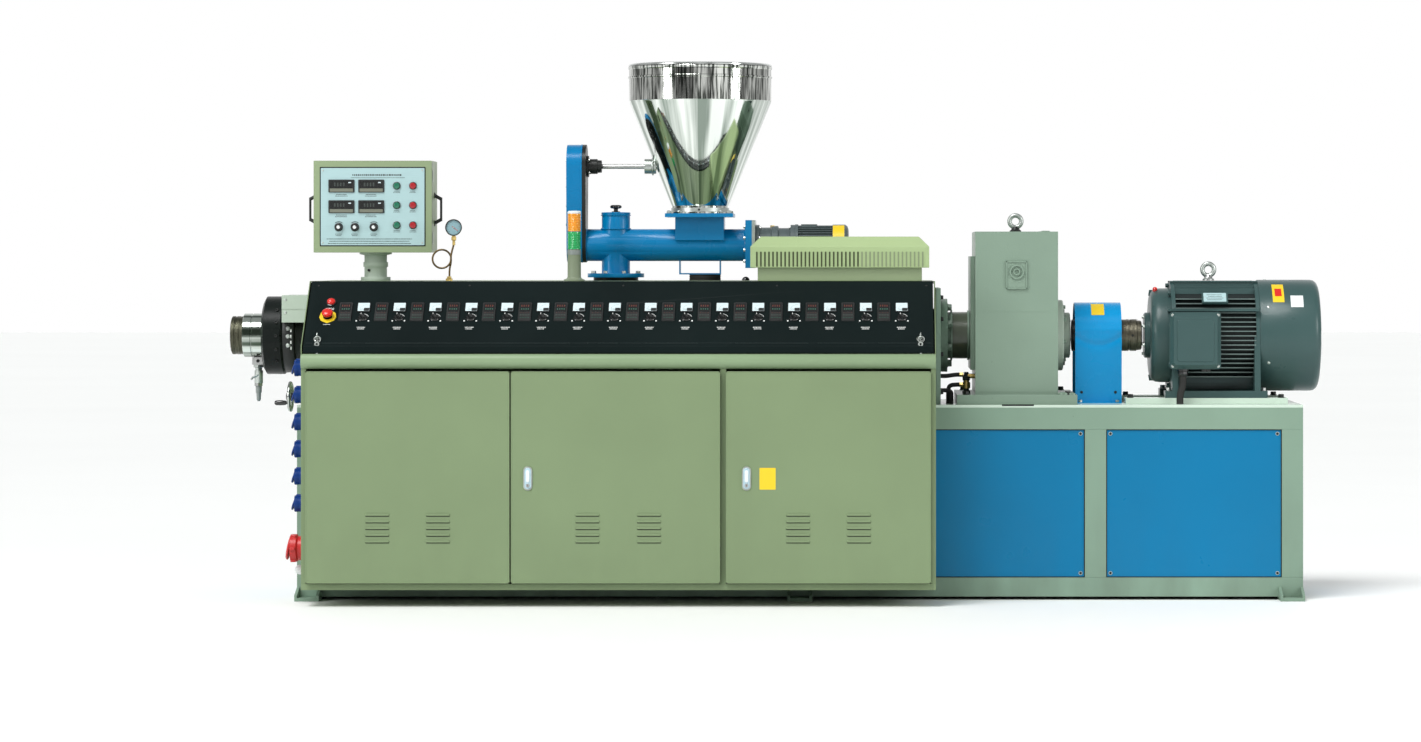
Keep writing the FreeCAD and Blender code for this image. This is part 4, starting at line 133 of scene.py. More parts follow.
def painted(name, colour, roughness, metallic=0.0, mottle=0.06, mottle_scale=2.0, grain=0.05,
        grain_scale=350.0, uneven=0.06, stretch=(1, 1, 1), coat=0.0, grime=0.0, specks=0.0,
        gleam=0.5):
    """Paint, metal or plastic: mottled colour, uneven gloss, fine bump, dirt low down, specks."""
    finish = Finish(name)
    dark = [channel * (1 - mottle) for channel in colour]
    light = [min(1, channel * (1 + mottle)) for channel in colour]
    shade = finish.spread(finish.noise(mottle_scale, 5.0, stretch), 0, 1)
    tint = finish.mixed(shade, dark, light)
    if specks:
        worn = finish.maths("GREATER_THAN", finish.noise(60.0, 6.0), 0.74)
        faint = finish.maths("MULTIPLY", worn, specks)
        tint = finish.mixed(faint, tint, [channel * 0.35 for channel in colour])
    if grime:
        tint = grimed(finish, tint, grime)
    dull = finish.noise(9.0, 3.0, stretch)
    gloss = finish.spread(dull, max(0.02, roughness - uneven), roughness + uneven)
    finish.set(Base_Color=tint, Roughness=gloss, Metallic=metallic, Specular_IOR_Level=gleam,
        Coat_Weight=coat, Coat_Roughness=0.12)
    finish.bumpy(finish.noise(grain_scale, 2.0, stretch), grain)
    return finish


def surface(*values, **named):
    return painted(*values, **named).material


def grimed(finish, tint, amount):
    """Dust and drips that thin out with height above the floor."""
    height = finish.axes(finish.own_place())[2]
    low = finish.ranged(height, 0.0, 0.45, amount, amount * 0.15)
    patches = finish.spread(finish.noise(7.0, 6.0, (1, 1, 0.35)), 0, 1)
    mask = finish.maths("MULTIPLY", low, patches)
    return finish.mixed(mask, tint, (0.055, 0.05, 0.035))


def glowing(name, colour, strength):
    finish = painted(name, colour, 0.35)
    finish.set(Emission_Color=(*colour, 1), Emission_Strength=strength)
    return finish.material


def lens(name, colour):
    """Coloured lamp plastic: glossy, a little translucent, with moulded ribs."""
    finish = painted(name, colour, 0.18, grain=0.5, grain_scale=260.0, coat=0.6)
    finish.set(Subsurface_Weight=0.2, Emission_Color=(*colour, 1), Emission_Strength=0.12)
    return finish.material


def reflection_streaked(name, roughness, scale, dark, light):
    """Polished sheet of the hopper; upright dark and bright streaks round its axis are painted
    reflections in its base colour, and also bump the surface.
    """
    finish = Finish(name)
    offsets = {0: finish.own_place(), 1: HOPPER_CENTRE}
    x, y, z = finish.axes(finish.add("VectorMath", offsets, 0, "SUBTRACT"))
    angle = finish.maths("ARCTAN2", x, y)
    around = finish.add("CombineXYZ", {"X": angle, "Z": finish.maths("MULTIPLY", z, 0.25)})
    painted_reflections = finish.add("TexNoise", {"Vector": around, "Scale": scale, "Detail": 3.0}, "Fac")
    gloss = finish.noise(40.0, 3.0, (1, 1, 0.1))
    finish.set(Base_Color=finish.mixed(finish.ranged(painted_reflections, 0.40, 0.58), dark, light),
        Roughness=finish.spread(gloss, roughness * 0.6, roughness * 1.5), Metallic=1.0)
    finish.bumpy(painted_reflections, 0.3)
    return finish.material


def reflection_banded(name):
    """Polished turned steel; dark and bright stripes along its length are painted reflections in
    its base colour.
    """
    finish = painted(name, (0.5, 0.5, 0.5), 0.10, 1.0)
    painted_reflection_bands = finish.ranged(finish.noise(26.0, 2.0, (0.02, 1, 1)), 0.42, 0.56)
    finish.set(Base_Color=finish.mixed(painted_reflection_bands, (0.06, 0.085, 0.06), (0.72, 0.78, 0.72)))
    return finish.material


HOPPER_CENTRE = (-0.2786, 0.148, 0.0)
ENAMEL = {"grain": 0.12, "grain_scale": 500.0, "mottle": 0.05, "gleam": 0.22}
CASTING = {"grain": 0.35, "grain_scale": 260.0, "mottle": 0.08, "gleam": 0.28}
PAINT = {
    "cabinet": surface("cabinet_enamel", (0.194, 0.262, 0.143), 0.36, grime=0.12, **ENAMEL),
    "band": surface("band_enamel", (0.228, 0.318, 0.187), 0.34, grime=0.08, **ENAMEL),
    # painted highlight: the deck and slide rails get a pale copy of the frame green, standing for
    # their lit, grazing top faces
    "deck": surface("deck_enamel", (0.56, 0.68, 0.58), 0.22, specks=0.3, mottle=0.08),
    "sleeve": surface("oily_sleeve", (0.085, 0.105, 0.07), 0.22, specks=0.4, mottle=0.2),
    # painted highlight: a lighter copy of the motor paint for the level fins' lit edges
    "motor_fin": surface("motor_fins", (0.13, 0.18, 0.17), 0.30, **CASTING),
    "box": surface("box_enamel", (0.255, 0.325, 0.19), 0.38, **ENAMEL),
    "frame": surface("frame_enamel", (0.212, 0.315, 0.240), 0.40, grime=0.35, specks=0.3,
        **ENAMEL),
    "gearbox": surface("gearbox_enamel", (0.202, 0.283, 0.220), 0.34, specks=0.25, **CASTING),
    "hood": surface("hood_enamel", (0.35, 0.455, 0.232), 0.38, **ENAMEL),
    "pale": surface("pale_enamel", (0.42, 0.50, 0.42), 0.38, **ENAMEL),
    "panel": surface("panel_enamel", (0.0, 0.160, 0.335), 0.33, grime=0.10, **ENAMEL),
    "guard": surface("guard_enamel", (0.0, 0.275, 0.60), 0.26, coat=0.15, **ENAMEL),
    "feeder": surface("feeder_enamel", (0.0, 0.175, 0.40), 0.28, specks=0.2, coat=0.12, **ENAMEL),
    "motor": surface("motor_enamel", (0.040, 0.082, 0.080), 0.33, coat=0.06, **CASTING),
    # painted shade: a near-black copy of the motor paint for the drum between the fins
    "motor_dark": surface("motor_shade", (0.012, 0.018, 0.018), 0.5, **CASTING),
    "gearmotor": surface("gearmotor_enamel", (0.085, 0.11, 0.115), 0.38, **CASTING),
    "fascia": surface("fascia_enamel", (0.005, 0.010, 0.010), 0.42, mottle=0.15, grain=0.10,
        grain_scale=500.0, gleam=0.07),
    "ring": surface("ring_enamel", (0.008, 0.011, 0.010), 0.30, grain=0.25, mottle=0.1,
        gleam=0.12),
    # painted highlight: a lighter, glossier black for the strip along the fascia's bend
    "gloss_edge": surface("fascia_edge", (0.014, 0.022, 0.022), 0.30, **ENAMEL),
    "hood_base": surface("hood_base_enamel", (0.275, 0.345, 0.205), 0.38, **ENAMEL),
    "tower": surface("tower_enamel", (0.217, 0.26, 0.178), 0.45, **ENAMEL),
}
METAL = {
    "chrome": surface("chrome", (0.50, 0.53, 0.50), 0.09, 1.0, 0.03, 5.0, 0.02, 900.0, 0.04),
    # painted reflections: the hopper and rim finishes carry dark and bright streaks in their base
    # colour
    "hopper": reflection_streaked("polished_stainless_painted_reflections", 0.06, 5.0, (0.26, 0.31, 0.27), (0.86, 0.90, 0.86)),
    "rim": reflection_streaked("rim_stainless_painted_reflections", 0.09, 34.0, (0.06, 0.07, 0.06), (0.80, 0.82, 0.78)),
    "sheet": surface("bright_sheet", (0.70, 0.73, 0.71), 0.16, 1.0, 0.05, 6.0, 0.05, 300.0, 0.05),
    "nose": surface("worn_nose", (0.085, 0.085, 0.06), 0.40, 1.0, 0.35, 26.0, 0.4, 420.0, 0.12,
        (6, 1, 1)),
    # painted reflections: dark and bright stripes in the adaptor's base colour
    "adaptor": reflection_banded("polished_adaptor_painted_reflections"),
    "steel": surface("steel", (0.52, 0.53, 0.52), 0.32, 1.0, 0.12, 14.0, 0.15, 700.0, 0.10),
    "turned": surface("turned_steel", (0.145, 0.135, 0.10), 0.40, 1.0, 0.35, 26.0, 0.4, 420.0,
        0.12, (6, 1, 1)),
    "zinc": surface("zinc_plate", (0.50, 0.54, 0.51), 0.38, 1.0, 0.10, 40.0, 0.1, 900.0, 0.08),
    "brass": surface("brass", (0.45, 0.33, 0.12), 0.34, 1.0, 0.15, 40.0, 0.1, 600.0, 0.1),
    "aluminium": surface("aluminium_plate", (0.39, 0.56, 0.575), 0.36, 0.1, 0.03, 20.0, 0.08,
        500.0, 0.05, (1, 1, 25)),
    "dark_oiled": surface("oiled_steel", (0.035, 0.036, 0.033), 0.34, 0.7, 0.3, 18.0, 0.25, 400.0,
        0.12, (6, 1, 1)),
    "black": surface("blackened_steel", (0.016, 0.018, 0.017), 0.38, 0.4, 0.25, 12.0, 0.3, 300.0,
        0.1),
    "copper": surface("brown_tube", (0.16, 0.11, 0.055), 0.36, 1.0, 0.2, 30.0, 0.1, 600.0, 0.1),
}
PLASTIC = {
    "black": surface("black_plastic", (0.012, 0.013, 0.013), 0.38, grain=0.15, grain_scale=900.0),
    "gloss": surface("gloss_black", (0.006, 0.007, 0.007), 0.12, coat=0.5),
    "rubber": surface("black_rubber", (0.014, 0.014, 0.013), 0.72, grain=0.4, grain_scale=500.0),
    "white": surface("white_plastic", (0.72, 0.76, 0.76), 0.35, mottle=0.02),
    "dial": surface("dial_face", (0.62, 0.74, 0.76), 0.30, mottle=0.03),
    "print": surface("printed_mark", (0.80, 0.82, 0.80), 0.55, mottle=0.02),
    "ink": surface("dark_print", (0.03, 0.035, 0.035), 0.5),
    "grey": surface("grey_plastic", (0.22, 0.25, 0.24), 0.4),
    "lock": surface("lock_plastic", (0.42, 0.58, 0.66), 0.30),
    "yellow": surface("yellow_plastic", (0.80, 0.56, 0.015), 0.35, mottle=0.03),
    "red": surface("red_plastic", (0.62, 0.018, 0.012), 0.24, coat=0.3),
    "button_red": surface("button_red", (0.36, 0.008, 0.014), 0.24, coat=0.3),
    "key": surface("dark_keys", (0.035, 0.045, 0.04), 0.45),
    "green": surface("green_plastic", (0.004, 0.14, 0.075), 0.22, coat=0.5),
    "blue": surface("blue_plastic", (0.004, 0.035, 0.19), 0.34, mottle=0.08, gleam=0.3),
    "socket_red": surface("red_socket", (0.50, 0.02, 0.02), 0.36, mottle=0.08),
    "amber_lens": lens("amber_lens", (0.72, 0.27, 0.01)),
    "green_lens": lens("green_lens", (0.01, 0.33, 0.09)),
    "red_digit": glowing("red_digits", (0.10, 0.022, 0.015), 0.05),
    "green_digit": glowing("green_digits", (0.03, 0.10, 0.07), 0.05),
    "strip": surface("display_strip", (0.16, 0.17, 0.13), 0.45),
    "slot": surface("slot_shade", (0.045, 0.06, 0.022), 0.7),
    "pale_slot": surface("slot_light", (0.20, 0.25, 0.14), 0.7),
    "gauge": surface("gauge_dial", (0.22, 0.36, 0.40), 0.3, mottle=0.03),
    # painted shade: near-black for slits, openings and recess edges where shade falls; it also
    # darkens the operator box's seams
    "gap": surface("dark_gap", (0.004, 0.005, 0.005), 0.8),
}


# the finishes used most
BLACK = PLASTIC["black"]
BLACKENED = METAL["black"]
BRASS = METAL["brass"]
CABINET = PAINT["cabinet"]
CHROME = METAL["chrome"]
# painted shade and dark seams
GAP_SHADE = PLASTIC["gap"]
GEARBOX = PAINT["gearbox"]
GLOSS = PLASTIC["gloss"]
GUARD = PAINT["guard"]
INK = PLASTIC["ink"]
PALE = PAINT["pale"]
PRINT = PLASTIC["print"]
RED = PLASTIC["red"]
RUBBER = PLASTIC["rubber"]
SOCKET_BLUE = PLASTIC["blue"]
SOCKET_RED = PLASTIC["socket_red"]
STEEL = METAL["steel"]
WHITE = PLASTIC["white"]
YELLOW = PLASTIC["yellow"]
ZINC = METAL["zinc"]


# ---- mesh tools ------------------------------------------------------------------------
class Place:
    """A spot on a surface: u and v lie in the surface and w stands out of it."""

    def __init__(self, origin, outward, turn=0.0):
        self.origin = Vector(origin)
        self.w = Vector(outward).normalized()
        side = RIGHT if abs(self.w.z) > 0.9 else UP
        u = side.cross(self.w).normalized()
        v = self.w.cross(u)
        self.u = u * cos(turn) + v * sin(turn)
        self.v = self.w.cross(self.u)

    def __call__(self, a, b, c=0.0):
        return self.origin + (self.u * a + self.v * b + self.w * c) * MM

    def moved(self, a, b, c=0.0):
        return Place(self(a, b, c), self.w)

    def out(self, c):
        return self.moved(0, 0, c)

    def arc(self, radius, height, start, step, count):
        """Points along an arc over the surface; start and step are in degrees."""
        angles = [radians(start + step * k) for k in range(count)]
        return [self(radius * cos(a), radius * sin(a), height) for a in angles]


def rounded_outline(width, height, radius, steps=4):
    points = []
    for corner in range(4):
        centre_x = (width / 2 - radius) * (1 if corner in (0, 3) else -1)
        centre_y = (height / 2 - radius) * (1 if corner < 2 else -1)
        for step in range(steps + 1):
            angle = pi / 2 * (corner + step / steps)
            points.append((centre_x + radius * cos(angle), centre_y + radius * sin(angle)))
    return points


def ring_places(place, radius, count, start=0.0):
    for index in range(count):
        angle = start + 2 * pi * index / count
        yield place.moved(radius * cos(angle), radius * sin(angle))


def corners(place, across, up):
    for a in (-across, across):
        for b in (-up, up):
            yield place.moved(a, b)


def border(piece, place, width, height, bar, depth, material, inset=0.5):
    """Four bars along a rectangle's sides, moved inwards by a share of their width."""
    across, up = width / 2 - inset * bar, height / 2 - inset * bar
    for side in (1, -1):
        piece.block(place.moved(0, side * up), width, bar, depth, material)
        piece.block(place.moved(side * across, 0), bar, height, depth, material)


def ease(piece, edge):
    """Rounds the piece's sharp edges."""
    bevel = piece.modifiers.new("edges", "BEVEL")
    bevel.width = edge * MM
    bevel.segments = 2
    bevel.limit_method = "ANGLE"
    bevel.angle_limit = radians(40)
    bevel.harden_normals = True


class Piece:
    """One visible object, gathered from simple forms with materials of their own."""

    def __init__(self):
        self.mesh = bmesh.new()
        self.materials = []

    def faces(self, points, loops, material):
        if material not in self.materials:
            self.materials.append(material)
        index = self.materials.index(material)
        verts = [self.mesh.verts.new(point) for point in points]
        for loop in loops:
            face = self.mesh.faces.new([verts[i] for i in loop])
            face.material_index = index
            face.smooth = True

    def plate(self, place, outline, depth, material, taper=1.0):
        """Outline in the surface, raised by depth; taper shrinks its outer face."""
        count = len(outline)
        points = [place(a, b) for a, b in outline]
        points += [place(a * taper, b * taper, depth) for a, b in outline]
        loops = [list(range(count))[::-1], list(range(count, 2 * count))]
        for i in range(count):
            j = (i + 1) % count
            loops.append([i, j, count + j, count + i])
        self.faces(points, loops, material)

    def block(self, place, width, height, depth, material, corner=0.0, taper=1.0):
        if corner:
            outline = rounded_outline(width, height, corner)
        else:
            x, y = width / 2, height / 2
            outline = [(x, y), (-x, y), (-x, -y), (x, -y)]
        self.plate(place, outline, depth, material, taper)

    def box(self, low, high, material):
        centre = (low + high) / 2
        size = (high - low) / MM
        place = Place((centre.x, centre.y, low[2]), UP)
        self.block(place, size.y, size.x, size.z, material)

    def turned(self, place, profile, material, sides=48):
        """Body of revolution about w; the profile lists heights and radii."""
        points = []
        loops = []
        rings = []
        for height, radius in profile:
            if radius == 0:
                rings.append([len(points)] * sides)
                points.append(place(0, 0, height))
                continue
            rings.append(list(range(len(points), len(points) + sides)))
            for side in range(sides):
                angle = 2 * pi * side / sides
                points.append(place(radius * cos(angle), radius * sin(angle), height))
        for lower, upper in zip(rings, rings[1:]):
            for i in range(sides):
                j = (i + 1) % sides
                loop = []
                for index in (lower[i], lower[j], upper[j], upper[i]):
                    if index not in loop:
                        loop.append(index)
                if len(loop) > 2:
                    loops.append(loop)
        for ring, flip in ((rings[0], True), (rings[-1], False)):
            if ring[0] != ring[1] and profile[0] != profile[-1]:
                loops.append(ring[::-1] if flip else ring)
        self.faces(points, loops, material)

    def drum(self, place, radius, depth, material, sides=48, edge=0.0):
        profile = [(0, radius), (depth - edge, radius), (depth, radius - edge)]
        self.turned(place, profile if edge else profile[:1] + [(depth, radius)], material, sides)

    def pipe(self, place, inner, outer, depth, material, sides=64):
        self.turned(place, [(0, inner), (0, outer), (depth, outer), (depth, inner), (0, inner)],
            material, sides)

    def tube(self, points, radius, material, sides=14, closed=False):
        """Round bar along points; its section turns with the path."""
        points = [Vector(point) for point in points]
        count = len(points)
        rings = []
        loops = []
        normal = None
        for index, point in enumerate(points):
            before = points[index - 1] if index or closed else point
            after = points[(index + 1) % count] if index < count - 1 or closed else point
            direction = (after - before).normalized()
            if normal is None:
                normal = direction.orthogonal()
            normal = (normal - direction * normal.dot(direction)).normalized()
            side = direction.cross(normal)
            rings += [point + (normal * cos(a) + side * sin(a)) * radius * MM
                for a in (2 * pi * k / sides for k in range(sides))]
        for index in range(count if closed else count - 1):
            low = index * sides
            high = (index + 1) % count * sides
            for i in range(sides):
                j = (i + 1) % sides
                loops.append([low + i, low + j, high + j, high + i])
        if not closed:
            loops.append(list(range(sides))[::-1])
            loops.append(list(range((count - 1) * sides, count * sides)))
        self.faces(rings, loops, material)

    def loop(self, place, radius, bar, material, steps=40, sides=14):
        points = place.arc(radius, 0, 0, 360 / steps, steps)
        self.tube(points, bar, material, sides, closed=True)

    def bolt(self, place, across, material, washer=True):
        """Hexagon head with its washer."""
        base = 0.0
        if washer:
            self.drum(place, across * 0.62, across * 0.12, material, 24)
            base = across * 0.12
        radius = across / sqrt(3)
        height = base + across * 0.55
        self.turned(place, [(base, radius), (height - across * 0.08, radius),
            (height, radius * 0.86)], material, 6)

    def screw(self, place, radius, material):
        """Cylinder-head screw with a hexagon socket."""
        self.turned(place, [(0, radius), (radius, radius), (radius, radius * 0.55),
            (radius * 0.4, radius * 0.5)], material, 20)

    def domed(self, place, radius, material):
        """Low domed screw head."""
        self.turned(place, [(0, radius), (radius * 0.25, radius * 0.9), (radius * 0.5, 0)],
            material, 16)

    def finish(self, name, slot, replaced=(), edge=0.8, smooth=35.0, body="machine"):
        """Turns the gathered forms into a piece that rides on a body."""
        bmesh.ops.recalc_face_normals(self.mesh, faces=self.mesh.faces)
        data = bpy.data.meshes.new(name)
        self.mesh.to_mesh(data)
        self.mesh.free()
        for material in self.materials:
            data.materials.append(material)
        data.set_sharp_from_angle(angle=radians(smooth))
        piece = bpy.data.objects.new(name, data)
        bpy.context.scene.collection.objects.link(piece)
        if edge:
            ease(piece, edge)
        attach(piece, body)
        if replaced:
            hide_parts(*replaced)


def dress(node, material):
    """Gives a CAD node its finish and slightly eased edges."""
    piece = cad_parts[node]
    piece.data.materials.clear()
    piece.data.materials.append(material)
    weld = piece.modifiers.new("weld", "WELD")
    weld.merge_threshold = 0.02 * MM
    ease(piece, 1.0)


# ---- camera, floor and light -----------------------------------------------------------
def make_camera():
    """Level view of the operator's side from 16.7 m in front of the drive axis."""
    data = bpy.data.cameras.new("camera")
    data.lens = 112.8
    data.sensor_width = 36.0
    data.shift_x = -0.1193
    data.shift_y = -0.0781
    data.clip_end = 200.0
    camera = bpy.data.objects.new("camera", data)
    camera.location = (0.3956, -16.552, 1.248)
    camera.rotation_euler = (radians(90), 0, 0)
    bpy.context.scene.collection.objects.link(camera)
    bpy.context.scene.camera = camera


def area_light(name, location, target, size, power):
    data = bpy.data.lights.new(name, "AREA")
    data.shape = "RECTANGLE"
    data.size, data.size_y = size
    data.energy = power
    light = bpy.data.objects.new(name, data)
    light.location = location
    aim = Vector(target) - Vector(location)
    light.rotation_euler = aim.to_track_quat("-Z", "Y").to_euler()
    bpy.context.scene.collection.objects.link(light)


def make_floor():
    data = bpy.data.meshes.new("floor")
    reach = 60.0
    data.from_pydata([(-reach, -reach, 0), (reach, -reach, 0), (reach, reach, 0),
        (-reach, reach, 0)], [], [(0, 1, 2, 3)])
    data.materials.append(surface("floor_paint", (0.93, 0.94, 0.93), 0.6, mottle=0.01,
        mottle_scale=0.4))
    floor = bpy.data.objects.new("floor", data)
    bpy.context.scene.collection.objects.link(floor)


def make_light():
    """Bright studio behind and beside the machine, dimmer towards the viewer and overhead."""
    world = bpy.data.worlds.new("studio")
    tree = Tree(world)
    x, y, z = tree.axes(tree.add("TexCoord", {}, "Generated"))
    share = tree.ranged(tree.maths("ARCTAN2", x, y), -pi, pi)
    around = tree.nodes.new("ShaderNodeValToRGB")
    stops = [(0.0, 0.75), (0.035, 0.16), (0.10, 0.10), (0.13, 1.0), (0.17, 1.0), (0.20, 0.25),
        (0.25, 0.6), (0.33, 0.35), (0.44, 1.0), (0.56, 1.0), (0.67, 0.35), (0.75, 0.6),
        (0.80, 0.12), (0.85, 0.12), (0.88, 1.0), (0.92, 1.0), (0.95, 0.2), (0.98, 0.75)]
    ramp = around.color_ramp
    while len(ramp.elements) < len(stops):
        ramp.elements.new(0.5)
    for element, (position, level) in zip(ramp.elements, stops):
        element.position = position
        element.color = (level, level, level, 1)
    tree.feed(around.inputs["Fac"], share)
    overhead = tree.ranged(z, 0.45, 0.85)
    tone = tree.mixed(overhead, around.outputs["Color"], (0.30, 0.31, 0.31))
    tree.feed(tree.nodes["Background"].inputs["Color"], tone)
    bpy.context.scene.world = world
    sun = bpy.data.lights.new("sun", "SUN")
    sun.energy = 2.35
    sun.angle = radians(28)
    lamp = bpy.data.objects.new("sun", sun)
    lamp.rotation_euler = Vector((0.45, 0.75, -1.25)).to_track_quat("-Z", "Y").to_euler()
    bpy.context.scene.collection.objects.link(lamp)
    area_light("left", (-6.5, -5.0, 3.2), (-0.5, 0, 0.9), (1.5, 3.0), 160)
    area_light("right", (7.0, -4.0, 3.0), (0.9, 0, 0.9), (1.5, 3.0), 170)
    bpy.context.scene.view_settings.view_transform = "Standard"


make_camera()
make_floor()
make_light()

# ---- CAD nodes that keep their shape ---------------------------------------------------
CARRIED = {
    PAINT["frame"]: ("base_rails", "base_posts", "base_cross_beams", "base_feet",
        "transfer_housing"),
    # painted highlight: pale paint for the lit tops of the deck and slide rails
    PAINT["deck"]: ("base_deck", "motor_slide_rails"),
    PAINT["band"]: ("cabinet_band",),
    PAINT["panel"]: ("infill_panels",),
    CABINET: ("cabinet_back_and_floor", "cabinet_walls", "end_covers", "left_door_panel",
        "middle_door_panel", "right_door_panel", "top_cover", "rear_cover"),
    PAINT["fascia"]: ("fascia_panel",),
    PAINT["box"]: ("operator_box",),
    PALE: ("barrel_end_hood", "operator_pedestal"),
    GEARBOX: ("gearbox_housing",),
    STEEL: ("hinge_pins", "agitator_shaft"),
    BLACKENED: ("barrel",),
    PAINT["feeder"]: ("feeder_body",),
}
for finish, nodes in CARRIED.items():
    for node in nodes:
        dress(node, finish)

# ---- where things are ------------------------------------------------------------------
def mm(x, y, z):
    """Millimetres from mid-length, drive axis and floor, turned into frame metres."""
    return Vector((x, y + AXIS_BACK, z)) * MM


def at(x, y, z, outward):
    return Place(mm(x, y, z), outward)


FASCIA_TILT = radians(42.5)
FASCIA_OUT = Vector((0, -sin(FASCIA_TILT), cos(FASCIA_TILT)))


def fascia_place(x, down, out=6.0):
    """Spot on the sloping fascia, measured down the slope from its hinge line."""
    y = -447 - down * cos(FASCIA_TILT) - out * sin(FASCIA_TILT)
    z = 1165 - down * sin(FASCIA_TILT) + out * cos(FASCIA_TILT)
    return Place(mm(x, y, z), FASCIA_OUT)


def text_bars(piece, place, widths, pitch, height, material, seed=1):
    """Plain bars where the machine has printed lines: nothing to read."""
    dice = random.Random(seed)
    for row, width in enumerate(widths):
        x = -width / 2
        while x < width / 2 - height:
            length = height * dice.uniform(0.5, 1.1)
            spot = place.moved(x + length / 2, -row * pitch)
            piece.block(spot, length, height * 0.85, 0.15, material)
            x += length + height * 0.35


# ---- doors and cabinet -----------------------------------------------------------------
def louvre_group(piece, x, material):
    """Five pressed louvres, each a low hooded ridge with a near-black slit of painted shade under
    it.
    """
    for index in range(5):
        place = at(x, DOORS, 235.5 + 24.0 * index, FRONT)
        width = 89
        piece.block(place.moved(0, -3), width - 4, 3, 0.3, GAP_SHADE, 1.4)
        outline = rounded_outline(width, 8, 3.9)
        piece.plate(place.moved(0, 2.5), outline, 3.5, material, 0.93)


def door_details(name, hinge_x, free_x, louvre_xs, lock_x, lock_node):
    piece = Piece()
    for x in louvre_xs:
        louvre_group(piece, x, CABINET)
    low_x, high_x = min(hinge_x, free_x), max(hinge_x, free_x)
    rim = at((low_x + high_x) / 2, DOORS, 467.5, FRONT)
    border(piece, rim, high_x - low_x, 761, 4, 0.6, CABINET)
    piece.finish(name + "_pressings", "cabinet_paint", edge=0.4, body=name)
    if not lock_node:
        return
    lock = Piece()
    place = at(lock_x, DOORS, 464, FRONT)
    oval = rounded_outline(33, 88, 16, 8)
    lock.plate(place, oval, 3, ZINC, 0.97)
    lock.plate(place.out(3), rounded_outline(24, 76, 11.5, 8), 4, PLASTIC["lock"], 0.94)
    lock.plate(place.moved(0, 8, 7), rounded_outline(13, 44, 6, 8), 3, WHITE, 0.9)
    lock.drum(place.moved(0, -25, 7), 7, 2, STEEL, 24, 0.5)
    # painted shade in the key slot
    lock.block(place.moved(0, -25, 9), 1.6, 8, 0.3, GAP_SHADE)
    lock.finish(name + "_lock_set", "gloss_black_plastic", (lock_node,), 0.5, body=name)


door_details("left_door", -1667.5, -934.5, (-1409, -1191), None, None)
door_details("middle_door", -929.5, -178.5, (-654.5, -433.5), -868.5, "middle_door_lock")
door_details("right_door", -157.5, 578.5, (101.5, 320), -83.5, "right_door_lock")

notice = Piece()
notice.block(at(-8, DOORS, 463, FRONT), 58, 78, 0.5, YELLOW, 2)
notice.finish("door_blank_plate", "cabinet_paint", edge=0.1, body="right_door")


panel_trim = Piece()
FRAME_BAYS = [(502.7, 1148.1), (1226.1, 1871.5)]
BACK_BAYS = [(-1667.5, -1022.1), (-944.1, -298.7), (-220.7, 424.7)] + FRAME_BAYS


def bay_outline(piece, place, width, height):
    # painted shadow: near-black bars round each bay stand for the shade along the recessed panel's
    # edges
    border(piece, place, width, height, 3, 0.5, GAP_SHADE, inset=0)
    for spot in corners(place, width / 2 - 14, height / 2 - 14):
        piece.drum(spot, 7, 0.6, ZINC, 20)
        piece.domed(spot.out(0.6), 5, BLACKENED)


for bays, y, outward in ((FRAME_BAYS, -344, FRONT), (BACK_BAYS, 344, BACK)):
    for low_x, high_x in bays:
        middle = at((low_x + high_x) / 2, y, 354, outward)
        bay_outline(panel_trim, middle, high_x - low_x - 4, 540)
panel_trim.finish("infill_edges_and_screws", "panel_blue", edge=0)

# ---- console fascia --------------------------------------------------------------------
CONTROL_XS = [-1540.8 + 130.0 * index for index in range(16)]


def controller(piece, x):
    place = fascia_place(x, 163)
    width, height = 48, 96
    piece.plate(place, rounded_outline(width, height, 3), 5, BLACK, 0.96)
    face = place.out(5)
    piece.block(face.moved(0, 19), 39, 44, 0.6, GLOSS, 2)
    for row, (v, kind) in enumerate(((28, "red_digit"), (11, "green_digit"))):
        for digit in range(4):
            spot = face.moved((digit - 1.5) * 8, v, 0.6)
            piece.block(spot, 4.2, 9 - 2 * row, 0.2, PLASTIC[kind])
    for lamp in range(4):
        piece.drum(face.moved((lamp - 1.5) * 9, -8), 1.3, 0.5, PLASTIC["red_digit"], 10)
    for key in range(4):
        piece.block(face.moved((key - 1.5) * 9.5, -21), 7, 6, 1, PLASTIC["key"], 1)
        piece.block(face.moved((key - 1.5) * 9.5, -33), 6, 2, 0.4, PLASTIC["green_digit"])


def ammeter(piece, x):
    place = fascia_place(x, 141)
    side = 48
    piece.plate(place, rounded_outline(side, side, 3), 5, BLACK, 0.97)
    face = place.out(5)
    piece.block(face, 42, 42, 0.5, PLASTIC["dial"], 1.5)
    corner = face.moved(11, -13, 0.5)
    piece.block(corner, 19, 15, 0.5, BLACK, 2)
    pivot = (14, -14)
    for tick in range(11):
        angle = radians(92 + tick * 8.6)
        radius = 27
        spot = face.moved(pivot[0] + radius * cos(angle), pivot[1] + radius * sin(angle), 0.5)
        piece.drum(spot, 0.8, 0.15, INK, 8)
    tip = radians(176)
    start = face(pivot[0], pivot[1], 1.2)
    end = face(pivot[0] + 25 * cos(tip), pivot[1] + 25 * sin(tip), 1.2)
    piece.tube([start, end], 0.5, INK, 6)


